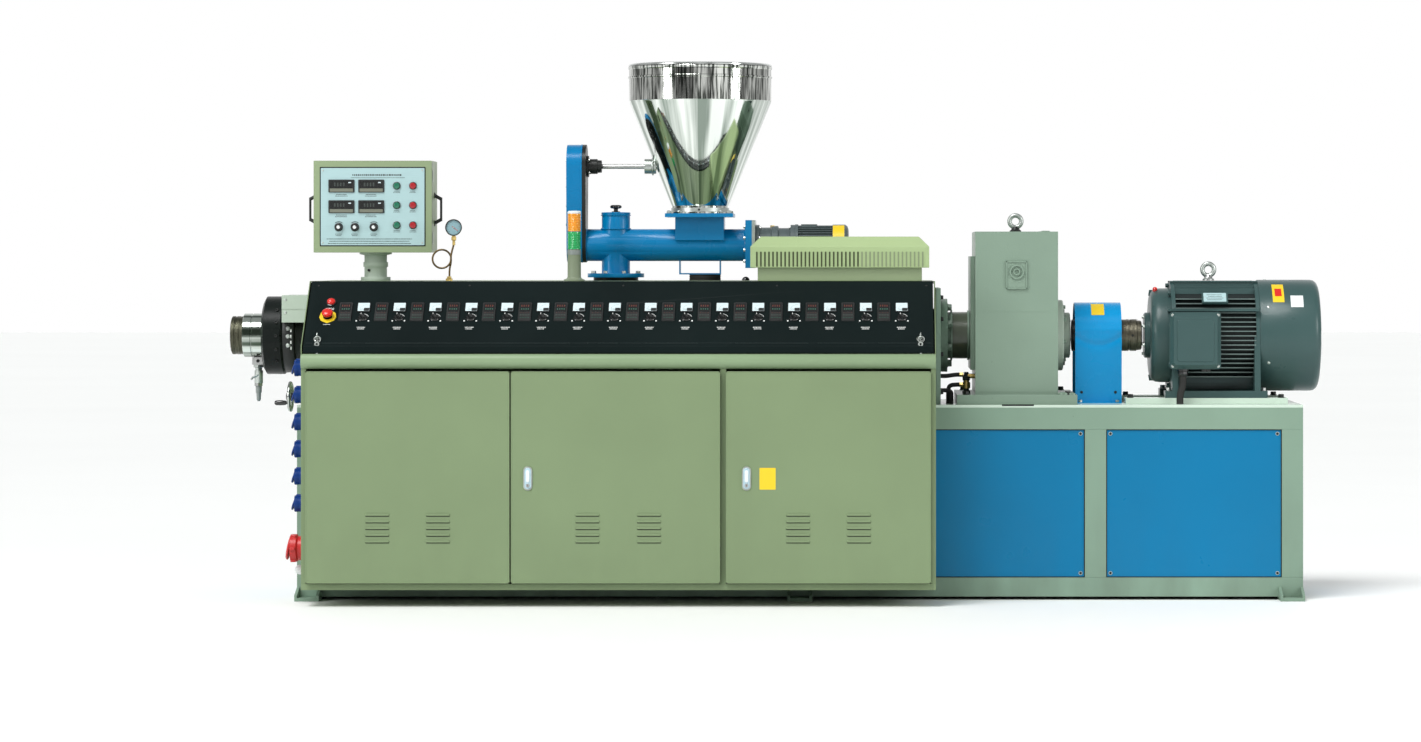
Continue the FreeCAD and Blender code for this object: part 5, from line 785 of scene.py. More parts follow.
def rotary_switch(piece, x):
    place = fascia_place(x, 194)
    piece.turned(place, [(0, 18), (2, 18), (4, 15.5), (7, 14.5)], GLOSS, 40)
    grip = Place(place(0, 0, 7), place.w, radians(35))
    piece.block(grip, 9, 29, 9, BLACK, 3, 0.86)
    piece.block(grip.moved(0, 9, 9), 1.6, 7, 0.3, PRINT)
    piece.tube(place.arc(21.5, 0.3, 20, 12, 6), 0.9, PRINT, 6)
    for side in (-1, 1):
        piece.block(place.moved(side * 22, -15), 5, 6, 0.2, PRINT)


controllers = Piece()
instruments = Piece()
for control_x in CONTROL_XS:
    controller(controllers, control_x)
    ammeter(instruments, control_x + 65)
    rotary_switch(instruments, control_x + 65)
controllers.finish("controller_faces", "black_plastic", ("temperature_controllers",), 0.4,
    body="console_fascia")

alarm = fascia_place(-1596.5, 113)
instruments.turned(alarm, [(0, 19), (4, 19), (5, 16)], GLOSS)
instruments.turned(alarm.out(5), [(0, 15), (5, 14), (9, 9.5), (10.5, 4), (10.8, 0)], RED)
text_bars(instruments, fascia_place(-1596.5, 143), (34, 30), 6.5, 3.5, PRINT, 3)
stop = fascia_place(-1602.5, 188)
shield = [(31, -2), (27, 20), (14, 29), (-14, 29), (-27, 20), (-31, -2), (-24, -20), (0, -34),
    (24, -20)]
instruments.plate(stop, shield, 2, YELLOW, 0.97)
instruments.drum(stop.out(2), 17, 1.5, GLOSS, 36)
STOP_TRAVEL = 5.0
instruments.drum(stop.out(3.5), 8, STOP_TRAVEL + 1.4, GLOSS, 28)
text_bars(instruments, fascia_place(-1602.5, 228), (26,), 6, 3.5, PRINT, 4)
for key_x in (-1629.5, 540.5):
    lock_place = fascia_place(key_x, 306)
    instruments.turned(lock_place, [(0, 15), (3, 14), (5, 11), (9, 10)], CHROME, 32)
    blade = Place(lock_place(0, 0, 9), lock_place.w, radians(20))
    instruments.block(blade, 2.5, 13, 12, ZINC, 1)
    instruments.pipe(Place(lock_place(0, 0, 20), RIGHT), 5, 11, 2.5, ZINC, 32)
    hanging = Place(lock_place(3, -16, 15), FRONT)
    instruments.loop(hanging, 11, 1.3, ZINC, 28, 8)
    spare = hanging.moved(-2, -17)
    instruments.pipe(spare, 4, 9, 2.4, ZINC, 28)
    instruments.block(spare.moved(0, -22), 6, 28, 2.4, ZINC, 0.5)
    for notch in range(4):
        instruments.block(spare.moved(3.5, -18 - notch * 5), 2.5, 2.5, 2.2, ZINC)
for name_x in CONTROL_XS:
    widths = (34, 28)
    text_bars(instruments, fascia_place(name_x + 65, 243), widths, 8.5, 4.4, PRINT, int(name_x))
instruments.finish("fascia_fittings", "gloss_black_plastic", ("fascia_instruments",), 0.35,
    body="console_fascia")

stop_head = Piece()
stop_head.turned(stop.out(3.5), [(2 * STOP_TRAVEL + 2.6, 0), (2 * STOP_TRAVEL + 2.6, 8.8),
    (STOP_TRAVEL + 0.6, 8.8), (STOP_TRAVEL + 0.6, 11), (12, 11), (12, 19), (16, 20), (21, 19),
    (24.5, 14), (26, 7), (26.3, 0)], RED)
stop_head.finish("stop_mushroom", "red_plastic", ("stop_button",), 0.3, body="emergency_stop")

crease = Piece()
crease_place = fascia_place(-544.5, 326, 6.2)
# painted highlight: lighter, glossier strip along the bend near the fascia's lower lip
crease.block(crease_place, 2250, 3.0, 0.6, PAINT["gloss_edge"], 1.2)
for screw_x in (-1650.0, -1100.0, -540.0, 20.0, 565.0):
    crease.domed(fascia_place(screw_x, 22), 4, BLACKENED)
crease.finish("fascia_crease", "fascia_black", edge=0.3, body="console_fascia")

# ---- head and barrel end ---------------------------------------------------------------
AXIS = 966.0


def axis_place(x, outward, y=0.0, z=AXIS):
    return at(x, y, z, outward)


def drum_place(x, radius, angle, centre=AXIS):
    """Spot on a level drum; its angle counts from the back over the top."""
    outward = (0, cos(angle), sin(angle))
    return Place(mm(x, radius * cos(angle), centre + radius * sin(angle)), outward)


def curved_label(piece, x0, x1, angle0, angle1, radius, material, steps=6, centre=AXIS):
    """Blank sticker laid round the drum, angles measured up from the front."""
    points = []
    for k in range(steps + 1):
        angle = radians(angle0 + (angle1 - angle0) * k / steps)
        for x in (x0, x1):
            points.append(mm(x, -radius * cos(angle), centre + radius * sin(angle)))
    piece.faces(points, [[2 * k, 2 * k + 1, 2 * k + 3, 2 * k + 2] for k in range(steps)], material)


def slab(piece, outline, x0, x1, material):
    points = [mm(x0, y, z) for y, z in outline] + [mm(x1, y, z) for y, z in outline]
    count = len(outline)
    loops = [list(range(count)), list(range(count, 2 * count))]
    loops += [[i, (i + 1) % count, count + (i + 1) % count, count + i] for i in range(count)]
    piece.faces(points, loops, material)


nose = Piece()
nose.turned(axis_place(-2033.5, RIGHT), [(0, 60), (0, 66), (3, 71.5), (14, 71.5), (15, 69.5),
    (19, 69.5), (20, 71.5), (33, 71.5), (34, 70), (38, 70), (39, 71.5), (46, 71.5), (46, 40),
    (10, 38), (9, 60), (0, 60)], METAL["nose"], 72)
nose.finish("screw_nose", "raw_steel", ("adaptor_nose",), 0.5)

ADAPTOR_X = -1987.5
adaptor = Piece()
adaptor.turned(axis_place(ADAPTOR_X, RIGHT), [(0, 72), (0, 79), (2.5, 81.5), (30, 81.5),
    (31.5, 80), (34.5, 80), (36, 81.5), (76, 81.5), (159, 81.5), (159, 72)], METAL["adaptor"], 80)
for screw_place in ring_places(axis_place(ADAPTOR_X, LEFT), 76, 8, 0.2):
    adaptor.drum(screw_place, 2.2, 0.6, BLACKENED, 14)
adaptor.finish("die_adaptor_body", "polished_steel", ("die_adaptor",), 0.5)

ring = Piece()
RING_OUTER = 146
RING_X = -1911.5
for half in (1, -1):
    outline = [(0, 86), (0, 118), (3, 130), (12, RING_OUTER), (76, RING_OUTER), (83, 139),
        (83, 86), (0, 86)]
    sides = 40
    points = []
    loops = []
    for step in range(sides + 1):
        angle = pi * step / sides
        for depth, radius in outline[:-1]:
            points.append(mm(RING_X + depth, radius * cos(angle),
                AXIS + half * (1.5 + radius * sin(angle) * 0.988)))
    count = len(outline) - 1
    for step in range(sides):
        for corner in range(count):
            nxt = (corner + 1) % count
            loops.append([step * count + corner, step * count + nxt, (step + 1) * count + nxt,
                (step + 1) * count + corner])
    loops.append(list(range(count)))
    loops.append(list(range(sides * count, (sides + 1) * count)))
    ring.faces(points, loops, PAINT["ring"])
for bolt_z in (-1, 1):
    for bolt_x in (-1893, -1871, -1849):
        ring.screw(at(bolt_x, -139, AXIS + bolt_z * 13, FRONT), 5.5, BLACKENED)
ring.block(at(-1869, -143.5, AXIS, FRONT), 62, 44, 4, PAINT["ring"], 3)
for screw_place in ring_places(axis_place(-1908, LEFT), 100, 10, 0.3):
    ring.screw(screw_place, 5.5, BLACKENED)
for angle_step in range(-2, 3):
    angle = radians(180 + 20 * angle_step)
    ring.screw(drum_place(-1851, 145.4, angle), 6, BLACKENED)
ring.finish("heater_clamp_ring", "heater_casting", ("head_heater_ring",), 0.8)

flange_trim = Piece()
for z_offset in (27, -2, -35):
    y = -sqrt(140.0 ** 2 - z_offset ** 2)
    spot = Place(mm(-1807, y, AXIS + z_offset), (0, y / 140, z_offset / 140))
    flange_trim.bolt(spot, 13, ZINC)
for index in range(4):
    angle = radians(172 + index * 9)
    flange_trim.block(drum_place(-1796, 140.2, angle), 5, 12, 0.5, PRINT, 1)
flange_trim.finish("flange_bolts", "dark_steel", edge=0.3)

hood_trim = Piece()
hood_trim.block(at(-1756, -165, 1066, FRONT), 141, 3, 1.5, PALE)
for x in (-1812, -1700):
    for z in (1052, 1100):
        hood_trim.domed(at(x, -165, z, FRONT), 5, ZINC)
hood_trim.finish("end_hood_seam", "frame_paint", edge=0.4)

sensor = Piece()
sensor_x = -1934.5
sensor.box(mm(sensor_x - 22, -22, 856), mm(sensor_x + 22, 22, 884), STEEL)
down = at(sensor_x, 0, 856, DOWN)
sensor.turned(down, [(0, 21), (10, 21), (12, 14), (22, 14)], ZINC, 6)
sensor.turned(at(sensor_x, 0, 834, DOWN), [(0, 16), (46, 16), (52, 12)], ZINC, 32)
sensor.turned(at(sensor_x, 0, 788, DOWN), [(0, 17), (12, 17)], STEEL, 6)
sensor.turned(at(sensor_x, 0, 776, DOWN), [(0, 12), (24, 11), (27, 9), (50, 8), (57, 5), (58, 0)],
    PLASTIC["grey"], 28)
sensor.tube([mm(sensor_x, -14, 818), mm(sensor_x - 20, -18, 808), mm(sensor_x - 26, -18, 800)], 4,
    ZINC, 10)
sensor.screw(at(sensor_x, -22, 870, FRONT), 6, BLACKENED)
sensor.finish("melt_sensor", "raw_steel", ("head_sensor",), 0.5)

# ---- bearing wall, gearbox -------------------------------------------------------------
transfer = Piece()
for place in ring_places(axis_place(647.5, RIGHT), 113, 8, 0.39):
    transfer.bolt(place, 24, GEARBOX)
for x in (659, 722):
    transfer.pipe(axis_place(x, RIGHT), 80, (96 if x < 700 else 93), 7, GEARBOX)
transfer.turned(axis_place(666, RIGHT), [(0, 86), (0, 87.4), (56, 87.4), (56, 86), (0, 86)],
    PAINT["sleeve"], 72)
for z in (760, 900, 1030, 1110):
    transfer.bolt(at(619.5, -255, z, RIGHT), 15, BLACKENED)
transfer.finish("transfer_bolts", "frame_paint", edge=0.4)

gear_trim = Piece()
gear_trim.block(at(899, -299.6, 1058, FRONT), 303, 1.6, 0.9, GEARBOX)
gear_trim.block(at(899, -300, 764, FRONT), 300, 4, 0.7, GEARBOX)
for place in ring_places(axis_place(1080.5, RIGHT), 108, 8, 0.2):
    gear_trim.bolt(place, 14, GEARBOX)
for place in ring_places(axis_place(1106.5, RIGHT), 72, 6, 0.2):
    gear_trim.drum(place, 5, 1.5, BLACKENED, 14)
for x in (712, 1086):
    for y in (-312, 312):
        gear_trim.bolt(at(x, y, 752, UP), 20, BLACKENED)
for index in range(6):
    gear_trim.block(at(786 + index * 45, 300, 1192, BACK), 22, 160, 5, GEARBOX, 3)
for y in (-170, 170):
    gear_trim.turned(at(1010, y, 1353, UP), [(0, 16), (3, 16), (4, 9)], GEARBOX, 28)
# painted shadow: dark strip on the frame's top edge under the gearbox
gear_trim.block(at(902, -350, 715, FRONT), 118, 6, 0.6, GAP_SHADE)
dice = random.Random(5)
for index in range(9):
    lump = at(1060 + index * 6, -322 + dice.uniform(0, 12), 752, UP)
    size = dice.uniform(6, 11)
    gear_trim.turned(lump, [(0, size), (size * 0.8, size * 0.8), (size * 1.1, 0)], GEARBOX, 12)
gear_trim.finish("gearbox_fittings", "gearbox_paint", edge=0.5)

covers = Piece()
covers.box(mm(730.5, -210, 841), mm(746.5, 210, 1262), GEARBOX)
covers.turned(axis_place(1051.5, RIGHT), [(0, 136), (4, 136), (5, 132), (26, 132), (29, 128),
    (29, 88), (33, 85), (52, 85), (55, 81), (55, 44)], PALE, 80)
plate = at(899, -300, 1192.5, FRONT)
covers.block(plate, 78, 103, 4, GEARBOX, 3)
raised = plate.moved(0, 12, 4)
covers.pipe(raised, 21, 27, 6, GEARBOX, 48)
covers.pipe(raised, 8, 13, 6, GEARBOX, 40)
border(covers, plate.out(4), 78, 103, 5, 3, GEARBOX)
covers.finish("gearbox_end_covers", "gearbox_paint", ("gearbox_covers",), 0.8)

eyes = Piece()
for x, z in ((903.5, 1353), (1626.5, 1172)):
    seat = at(x, 0, z, UP)
    eyes.turned(seat, [(0, 22), (5, 22), (8, 17), (18, 12), (22, 10)], BLACKENED if x < 1000
        else STEEL, 32)
    eye_ring = at(x, 0, z + 40, FRONT)
    eyes.loop(eye_ring, 22, 8.7, ZINC, 44, 16)
eyes.finish("eye_bolts", "gearbox_paint", ("lifting_eyes",), 0)

# ---- oil line --------------------------------------------------------------------------
def smooth_hose(name, points, radius, material, slot="black_rubber", replaced=()):
    """Hose whose bends are smooth: the corners of its route are cut back again and again."""
    for _ in range(4):
        eased = [points[0]]
        for start, end in zip(points, points[1:]):
            eased += [start.lerp(end, 0.25), start.lerp(end, 0.75)]
        points = eased + [points[-1]]
    hose = Piece()
    hose.tube(points, radius, material, 20)
    hose.finish(name, slot, replaced, 0)


HOSE_Y = -190
smooth_hose("oil_hose_upper", [mm(619.5, HOSE_Y, 818), mm(643.5, HOSE_Y, 818),
    mm(674, HOSE_Y, 823), mm(698.5, HOSE_Y, 823)], 8, RUBBER, replaced=("hoses_and_cable",))
smooth_hose("oil_hose_rising", [mm(648.2, HOSE_Y, DECK), mm(648.2, HOSE_Y, 762),
    mm(652, HOSE_Y, 783), mm(674, HOSE_Y, 786), mm(698.5, HOSE_Y, 786)], 8, RUBBER)
smooth_hose("oil_hose_low", [mm(619.5, -225, 766), mm(646, -225, 766), mm(659.6, -225, 760),
    mm(659.6, -225, 744), mm(659.6, -225, DECK)], 8, RUBBER)
smooth_hose("motor_cable", [mm(1514.5, -254, 819), mm(1514.5, -254, 785), mm(1503.5, -254, 750),
    mm(1503.5, -254, DECK)], 13, RUBBER)

valve = Piece()
seat = at(715.5, HOSE_Y, 752, UP)
valve.turned(seat, [(0, 17), (12, 17), (13, 12), (20, 12)], BLACKENED, 6)
valve.turned(seat.out(20), [(0, 15), (22, 15), (24, 11), (30, 11)], BRASS, 28)
valve.turned(seat.out(50), [(0, 16), (14, 16), (16, 12), (31, 9)], BLACKENED, 6)
valve.turned(at(715.5, HOSE_Y, 818, RIGHT), [(0, 9), (31, 9)], BRASS, 24)
for z in (786, 823):
    valve.turned(at(699, HOSE_Y, z, LEFT), [(-6, 9.5), (8, 9.5), (10, 8.6)], BRASS, 6)
valve.finish("oil_valve_stack", "raw_steel", ("oil_valve",), 0.4)

# ---- coupling and its guard ------------------------------------------------------------
coupling = Piece()
coupling.turned(axis_place(1112.5, RIGHT), [(0, 52), (2, 59), (18, 59), (19, 57), (23, 57),
    (24, 59), (101, 59), (101.5, 104), (129.5, 104), (129.5, 30)], METAL["dark_oiled"], 72)
coupling.turned(axis_place(1233.5, RIGHT), [(12, 30), (12, 104), (40, 104), (40.5, 59),
    (92, 59), (94, 57), (99, 57), (100, 59), (122, 59), (124, 56), (138, 55), (142, 50)],
    METAL["turned"], 72)
for place in ring_places(axis_place(1214, LEFT), 80, 6):
    coupling.bolt(place, 16, STEEL)
for place in ring_places(axis_place(1274, RIGHT), 80, 6):
    coupling.drum(place, 12, 3, RUBBER, 24)
coupling.drum(at(1340, -58, AXIS, FRONT), 5, 1, BLACKENED, 16)
coupling.block(at(1340, 0, AXIS + 58.5, UP), 12, 44, 1.5, STEEL)
coupling.finish("coupling_halves", "raw_steel", ("drive_coupling",), 0.6, body="coupling")

GUARD_X0 = 1122.5
GUARD_WIDTH = 173.0


def guard_surface(radius, along, across):
    """Point on the guard: along runs from the front foot over the arch to the rear foot."""
    leg = AXIS - DECK
    arch = pi * radius
    distance = along * (2 * leg + arch)
    if distance < leg:
        y, z, out_y, out_z = -radius, DECK + distance, -1.0, 0.0
    elif distance < leg + arch:
        angle = (distance - leg) / radius
        out_y, out_z = -cos(angle), sin(angle)
        y, z = radius * out_y, AXIS + radius * out_z
    else:
        y, z, out_y, out_z = radius, DECK + (2 * leg + arch - distance), 1.0, 0.0
    lift = 0.0
    if y < 0:
        smile = 930.0 + 36.0 * across * across
        lift = 2.6 * exp(-((z - 989.0) / 9.0) ** 2) - 4.6 * exp(-((z - smile) / 12.0) ** 2)
    x = GUARD_X0 + GUARD_WIDTH / 2 * (1 + across)
    return mm(x, y + out_y * lift, z + out_z * lift)


guard = Piece()
COLUMNS = 18
ROWS = 160
points = []
loops = []
for radius in (123.0, 120.0):
    for row in range(ROWS + 1):
        for column in range(COLUMNS + 1):
            across = 2.0 * column / COLUMNS - 1.0
            points.append(guard_surface(radius, row / ROWS, across))
layer = (ROWS + 1) * (COLUMNS + 1)
for row in range(ROWS):
    for column in range(COLUMNS):
        first = row * (COLUMNS + 1) + column
        quad = [first, first + 1, first + COLUMNS + 2, first + COLUMNS + 1]
        loops.append(quad)
        loops.append([layer + index for index in reversed(quad)])
    for column in (0, COLUMNS):
        first = row * (COLUMNS + 1) + column
        second = first + COLUMNS + 1
        loops.append([first, second, layer + second, layer + first])
for row in (0, ROWS):
    for column in range(COLUMNS):
        first = row * (COLUMNS + 1) + column
        loops.append([first, first + 1, layer + first + 1, layer + first])
guard.faces(points, loops, GUARD)
for side in (-1, 1):
    low, high = sorted((side * 122, side * 153))
    guard.box(mm(GUARD_X0, low, DECK), mm(GUARD_X0 + GUARD_WIDTH, high, 719), GUARD)
guard.finish("guard_sheet", "guard_blue", ("coupling_guard",), 0)

guard_trim = Piece()
for x in (1140, 1278):
    guard_trim.bolt(at(x, -138, 719, UP), 13, ZINC)
    guard_trim.bolt(at(x, 138, 719, UP), 13, ZINC)
for x, z in ((1146, 756), (1272, 756)):
    guard_trim.domed(at(x, -123, z, FRONT), 5.5, BLACKENED)
curved_label(guard_trim, 1184, 1232, 38.5, 72.5, 123.6, YELLOW, 5)
guard_trim.finish("guard_fittings", "guard_blue", edge=0.2)

# ---- main motor ------------------------------------------------------------------------
MOTOR_PAINT = PAINT["motor"]
motor = Piece()
motor.turned(axis_place(1384.5, RIGHT), [(0, 34), (0, 80), (4, 85), (20, 85), (20, 146), (23, 160),
    (30, 169), (44, 174), (58, 176), (94, 176), (94, 190), (102, 190)], MOTOR_PAINT, 96)
# painted shade: near-black drum between the fins
motor.turned(axis_place(1484.5, RIGHT), [(0, 188), (310, 188)], PAINT["motor_dark"], 96)
motor.pipe(axis_place(1478.5, RIGHT), 150, 204, 15, MOTOR_PAINT, 96)
motor.pipe(axis_place(1790.5, RIGHT), 150, 204, 15, MOTOR_PAINT, 96)
for place in ring_places(axis_place(1390, LEFT), 68, 6, 0.5):
    motor.bolt(place.out(5.5), 11, ZINC)
for place in ring_places(axis_place(1484, LEFT), 190, 8, 0.2):
    motor.bolt(place.out(5.5), 16, MOTOR_PAINT)
for index in range(8):
    rib = drum_place(1418, 148, 2 * pi * index / 8)
    motor.block(rib, 12, 34, 22, MOTOR_PAINT, 3, 0.8)
for side in (-1, 1):
    for index in range(18):
        z_offset = -152 + index * 17.0
        start_y = sqrt(190.0 ** 2 - z_offset ** 2) - 3
        end_y = max(sqrt(205.0 ** 2 - z_offset ** 2), 148)
        low, high = sorted((side * start_y, side * end_y))
        # painted highlight: the level fins take the lighter fin paint
        motor.box(mm(1494, low, AXIS + z_offset - 2), mm(1790, high, AXIS + z_offset + 2),
            PAINT["motor_fin"])
for index in range(11):
    y_offset = -105 + index * 21.0
    for side in (-1, 1):
        base = sqrt(190.0 ** 2 - y_offset ** 2) - 3
        tip = sqrt(205.0 ** 2 - y_offset ** 2)
        low, high = sorted((side * base, side * tip))
        motor.box(mm(1494, y_offset - 2, AXIS + low), mm(1790, y_offset + 2, AXIS + high),
            MOTOR_PAINT)
for side in (-1, 1):
    low, high = sorted((side * 210, side * 120))
    motor.box(mm(1452.5, low, 737), mm(1831.5, high, 763), MOTOR_PAINT)
    web = [(210, 763), (210, 790), (203, 840), (202, AXIS), (120, AXIS), (120, 763)]
    for x in (1478.5, 1783.5):
        slab(motor, [(side * y, z) for y, z in web], x, x + 22, MOTOR_PAINT)
    for x in (1467, 1817):
        motor.bolt(at(x, side * 185, 763, UP), 18, STEEL)
motor.box(mm(1463.5, -212, 1058), mm(1800, -128, 1068), MOTOR_PAINT)
motor.box(mm(1478.5, -60, AXIS + 198), mm(1805.5, 60, AXIS + 204), MOTOR_PAINT)
name_plate = Place(mm(1637, -190, 1108), (0, -0.75, 0.66))
motor.block(name_plate.out(-8), 96, 50, 10, MOTOR_PAINT)
motor.block(name_plate.out(2), 84, 42, 1, METAL["aluminium"], 3)
for a in (-37, 37):
    motor.domed(name_plate.moved(a, 0, 3), 2.5, ZINC)
text_bars(motor, name_plate.moved(0, 12, 3), (60, 50, 64, 56), 8, 3.2, INK, 21)
motor.turned(Place(mm(1424, -40, AXIS + 166), (0, -0.3, 1)), [(0, 9), (10, 9), (14, 6), (16, 0)],
    RED, 20)
motor.finish("motor_casing", "motor_paint", ("motor_frame",), 0.7)

box_piece = Piece()
box_place = at(1558.5, -210, 950.5, FRONT)
box_piece.block(box_place, 180, 201, 60, MOTOR_PAINT, 12)
box_piece.block(box_place.out(60), 190, 211, 5, MOTOR_PAINT, 12)
box_piece.plate(box_place.out(65), rounded_outline(186, 207, 12), 22, MOTOR_PAINT, 0.86)
box_piece.plate(box_place.out(87), rounded_outline(138, 156, 10), 2.5, MOTOR_PAINT, 0.97)
for spot in corners(box_place.out(62), 84, 94):
    box_piece.drum(spot, 9, 12, MOTOR_PAINT, 20)
    box_piece.domed(spot.out(12), 6, ZINC)
box_piece.turned(at(1514.5, -254, 845, DOWN), [(0, 22), (8, 22), (9, 18), (18, 20), (25, 16)],
    BLACK, 8)
box_piece.turned(at(1600, -254, 845, DOWN), [(0, 18), (10, 18)], BLACKENED, 6)
box_piece.finish("terminal_box", "motor_paint", ("motor_terminal_box",), 1.2)

cowl = Piece()
cowl.turned(axis_place(1805.5, RIGHT), [(0, 206), (3, 208), (200, 208), (212, 206), (222, 198),
    (227, 188), (228, 176), (228, 60), (226, 58), (226, 0)], MOTOR_PAINT, 96)
# painted shade: dark arcs stand for the air slots in the cowl's end
for radius in (74, 96, 118, 140, 162):
    for index in range(8):
        start = 2 * pi * index / 8 + 0.12
        arc = [axis_place(2034, RIGHT)(radius * cos(start + k * 0.09),
            radius * sin(start + k * 0.09), -1.8) for k in range(7)]
        cowl.tube(arc, 3.4, GAP_SHADE, 8)
for index in range(6):
    cowl.domed(drum_place(1838, 207.6, 2 * pi * index / 6 + 0.5), 6, ZINC)
curved_label(cowl, 1855, 1898, 37, 66, 208.5, YELLOW)
curved_label(cowl, 1864, 1889, 45, 57, 208.9, RED)
curved_label(cowl, 1921, 1968, 31, 46, 208.5, WHITE)
cowl.finish("fan_cowl", "motor_paint", ("motor_cowl",), 0.8)

slides = Piece()
for x in (1325, 1885):
    for y in (-165, 165):
        slides.bolt(at(x, y, 737, UP), 20, BLACKENED)
slides.finish("slide_rail_bolts", "motor_paint", edge=0.4)

# ---- feeder ----------------------------------------------------------------------------
FEED = 1304.0
BLUE = PAINT["feeder"]


def feed_place(x, outward):
    return axis_place(x, outward, 0.0, FEED)


feeder_trim = Piece()
feeder_trim.loop(at(-595, 0, 1365, UP), 54, 3.2, BLUE, 48, 8)
feeder_trim.loop(at(-595, 0, 1416, UP), 54, 2.6, BLUE, 48, 8)
for place in ring_places(at(-595, 0, 1198, UP), 90, 8, 0.4):
    feeder_trim.bolt(place, 14, STEEL)
feeder_trim.loop(feed_place(-704, LEFT), 61, 2.5, BLUE, 48, 8)
feeder_trim.loop(feed_place(-109, LEFT), 62.5, 3, BLUE, 48, 8)
for z in (1244, 1285, 1330, 1372):
    for y in (-72, 72):
        feeder_trim.bolt(at(-107, y, z, LEFT), 12, STEEL)
flange_top = 1422
for x in (-392, -165):
    for y in (-100, 100):
        spot = at(x, y, flange_top, UP)
        feeder_trim.drum(spot, 9, 2, ZINC, 20)
        feeder_trim.turned(spot.out(2), [(0, 7), (7, 6), (9, 4)], ZINC, 20)
        for side in (-1, 1):
            wing = Place(spot(side * 9, 0, 5), FRONT)
            feeder_trim.block(wing, 14, 13, 2.5, ZINC, 5)
for y in (-100, 100):
    feeder_trim.bolt(at(-278.6, y, flange_top, UP), 13, STEEL)
for side in (-1, 1):
    x = -278.6 + side * 78
    bar = Place(mm(x + side * 0.5, 0, 1273), RIGHT if side > 0 else LEFT)
    feeder_trim.turned(bar, [(0, 7), (10, 6), (13, 3)], ZINC, 18)
    for tilt in (-1, 1):
        wing = Place(bar(0, tilt * 9, 7), FRONT)
        feeder_trim.block(wing, 8, 12, 3, ZINC, 3.5)
feeder_trim.finish("feeder_trim", "feeder_blue", edge=0.3)

fittings = Piece()
cap = at(-595, 0, 1421, UP)
fittings.turned(cap, [(0, 55), (4, 55), (6, 52)], BLUE, 56)
fittings.turned(cap.out(6), [(0, 16), (3, 16), (4, 8), (13, 8)], BLACKENED, 28)
fittings.turned(cap.out(19), [(0, 10), (2, 19), (5, 22), (10, 22), (14, 18), (15, 6), (15, 0)],
    GLOSS, 36)
fittings.turned(at(-595, 0, COVER, UP), [(0, 86), (3, 84), (12, 84)], BLACKENED, 56)
foot = at(-260.6, 0, COVER, UP)
fittings.turned(foot, [(0, 58), (3, 60), (6, 57), (9, 60), (12, 57), (15, 60), (18, 57), (21, 60),
    (23, 58)], RUBBER, 48)
dome = [(0, 15)]
for step in range(1, 8):
    angle = pi / 2 * step / 8
    dome.append((15 * sin(angle), 15 * cos(angle)))
fittings.turned(at(-108, 0, COVER, UP), dome + [(15, 0)], GLOSS, 32)
fittings.finish("feeder_caps_and_feet", "black_rubber", ("feeder_fittings",), 0.3)

GEAR_PAINT = PAINT["gearmotor"]
gearmotor = Piece()
gearmotor.box(mm(-83, -89, 1218), mm(-71, 89, 1397), ZINC)
gearmotor.turned(feed_place(-71, RIGHT), [(0, 76), (14, 76), (18, 66), (58, 66), (62, 72),
    (84, 72), (88, 64), (128, 64), (132, 76), (148, 76)], GEAR_PAINT, 56)
for place in ring_places(feed_place(-57, RIGHT), 70, 8, 0.4):
    gearmotor.bolt(place, 10, STEEL)
for place in ring_places(feed_place(61, LEFT), 70, 8, 0.4):
    gearmotor.bolt(place, 10, STEEL)
gearmotor.drum(at(-8, 0, FEED + 66, UP), 9, 8, BRASS, 6)
gearmotor.turned(feed_place(77, RIGHT), [(0, 78), (12, 78), (13, 69), (140, 69), (141, 77),
    (188, 77), (197, 70), (201, 56), (201, 0)], GEAR_PAINT, 64)
for index in range(40):
    angle = 2 * pi * index / 40
    if abs(sin(angle) - 1) < 0.04:
        continue
    place = drum_place(153.5, 68, angle, FEED)
    width, height = (128, 2.4) if abs(place.u.x) > 0.5 else (2.4, 128)
    gearmotor.block(place, width, height, 9, GEAR_PAINT)
gearmotor.block(at(130, 0, FEED + 66, UP), 60, 60, 12, GEAR_PAINT, 5)
curved_label(gearmotor, 219, 262, 12, 72, 77.6, YELLOW, 5, FEED)
gearmotor.finish("feed_gearmotor", "gearmotor_paint", ("feeder_gearmotor",), 0.5)

# ---- chain cover and agitator bearing --------------------------------------------------
chain = Piece()
AGITATOR = 1598.6  # height of the agitator's shaft


def stadium(top_radius, bottom_radius, steps=28):
    """Outline round both sprockets, as (across, height) in millimetres."""
    points = []
    for k in range(steps + 1):
        angle = pi * k / steps
        points.append((top_radius * cos(angle), AGITATOR + top_radius * sin(angle)))
    for k in range(steps + 1):
        angle = pi + pi * k / steps
        points.append((bottom_radius * cos(angle), FEED + bottom_radius * sin(angle)))
    return points


slab(chain, stadium(81.5, 64.5), -776, -718, BLUE)
slab(chain, stadium(83, 66), -724, -718.2, BLUE)
slab(chain, stadium(74, 57), -776.6, -776, BLUE)
for place in ring_places(axis_place(-776.5, LEFT, 0.0, AGITATOR), 68, 6, 0.3):
    chain.domed(place, 5, ZINC)
for z in (1380, 1450, 1520):
    for y in (-58, 58):
        chain.domed(at(-776.5, y, z, LEFT), 5, ZINC)
chain.finish("chain_case", "feeder_blue", ("chain_cover",), 1.6)

bearing = Piece()
slab(bearing, stadium(82, 65), -717.8, -704, BLACKENED)
hub = axis_place(-704, RIGHT, 0.0, AGITATOR)
bearing.turned(hub, [(0, 40), (8, 40), (9, 28), (40, 28), (41, 24), (56, 23), (56, 9.5), (0, 9.5)],
    BLACKENED, 40)
for place in ring_places(hub.out(8), 34, 4, 0.8):
    bearing.bolt(place, 9, STEEL)
bearing.finish("chain_case_back", "dark_steel", ("chain_cover_back",), 0.5)

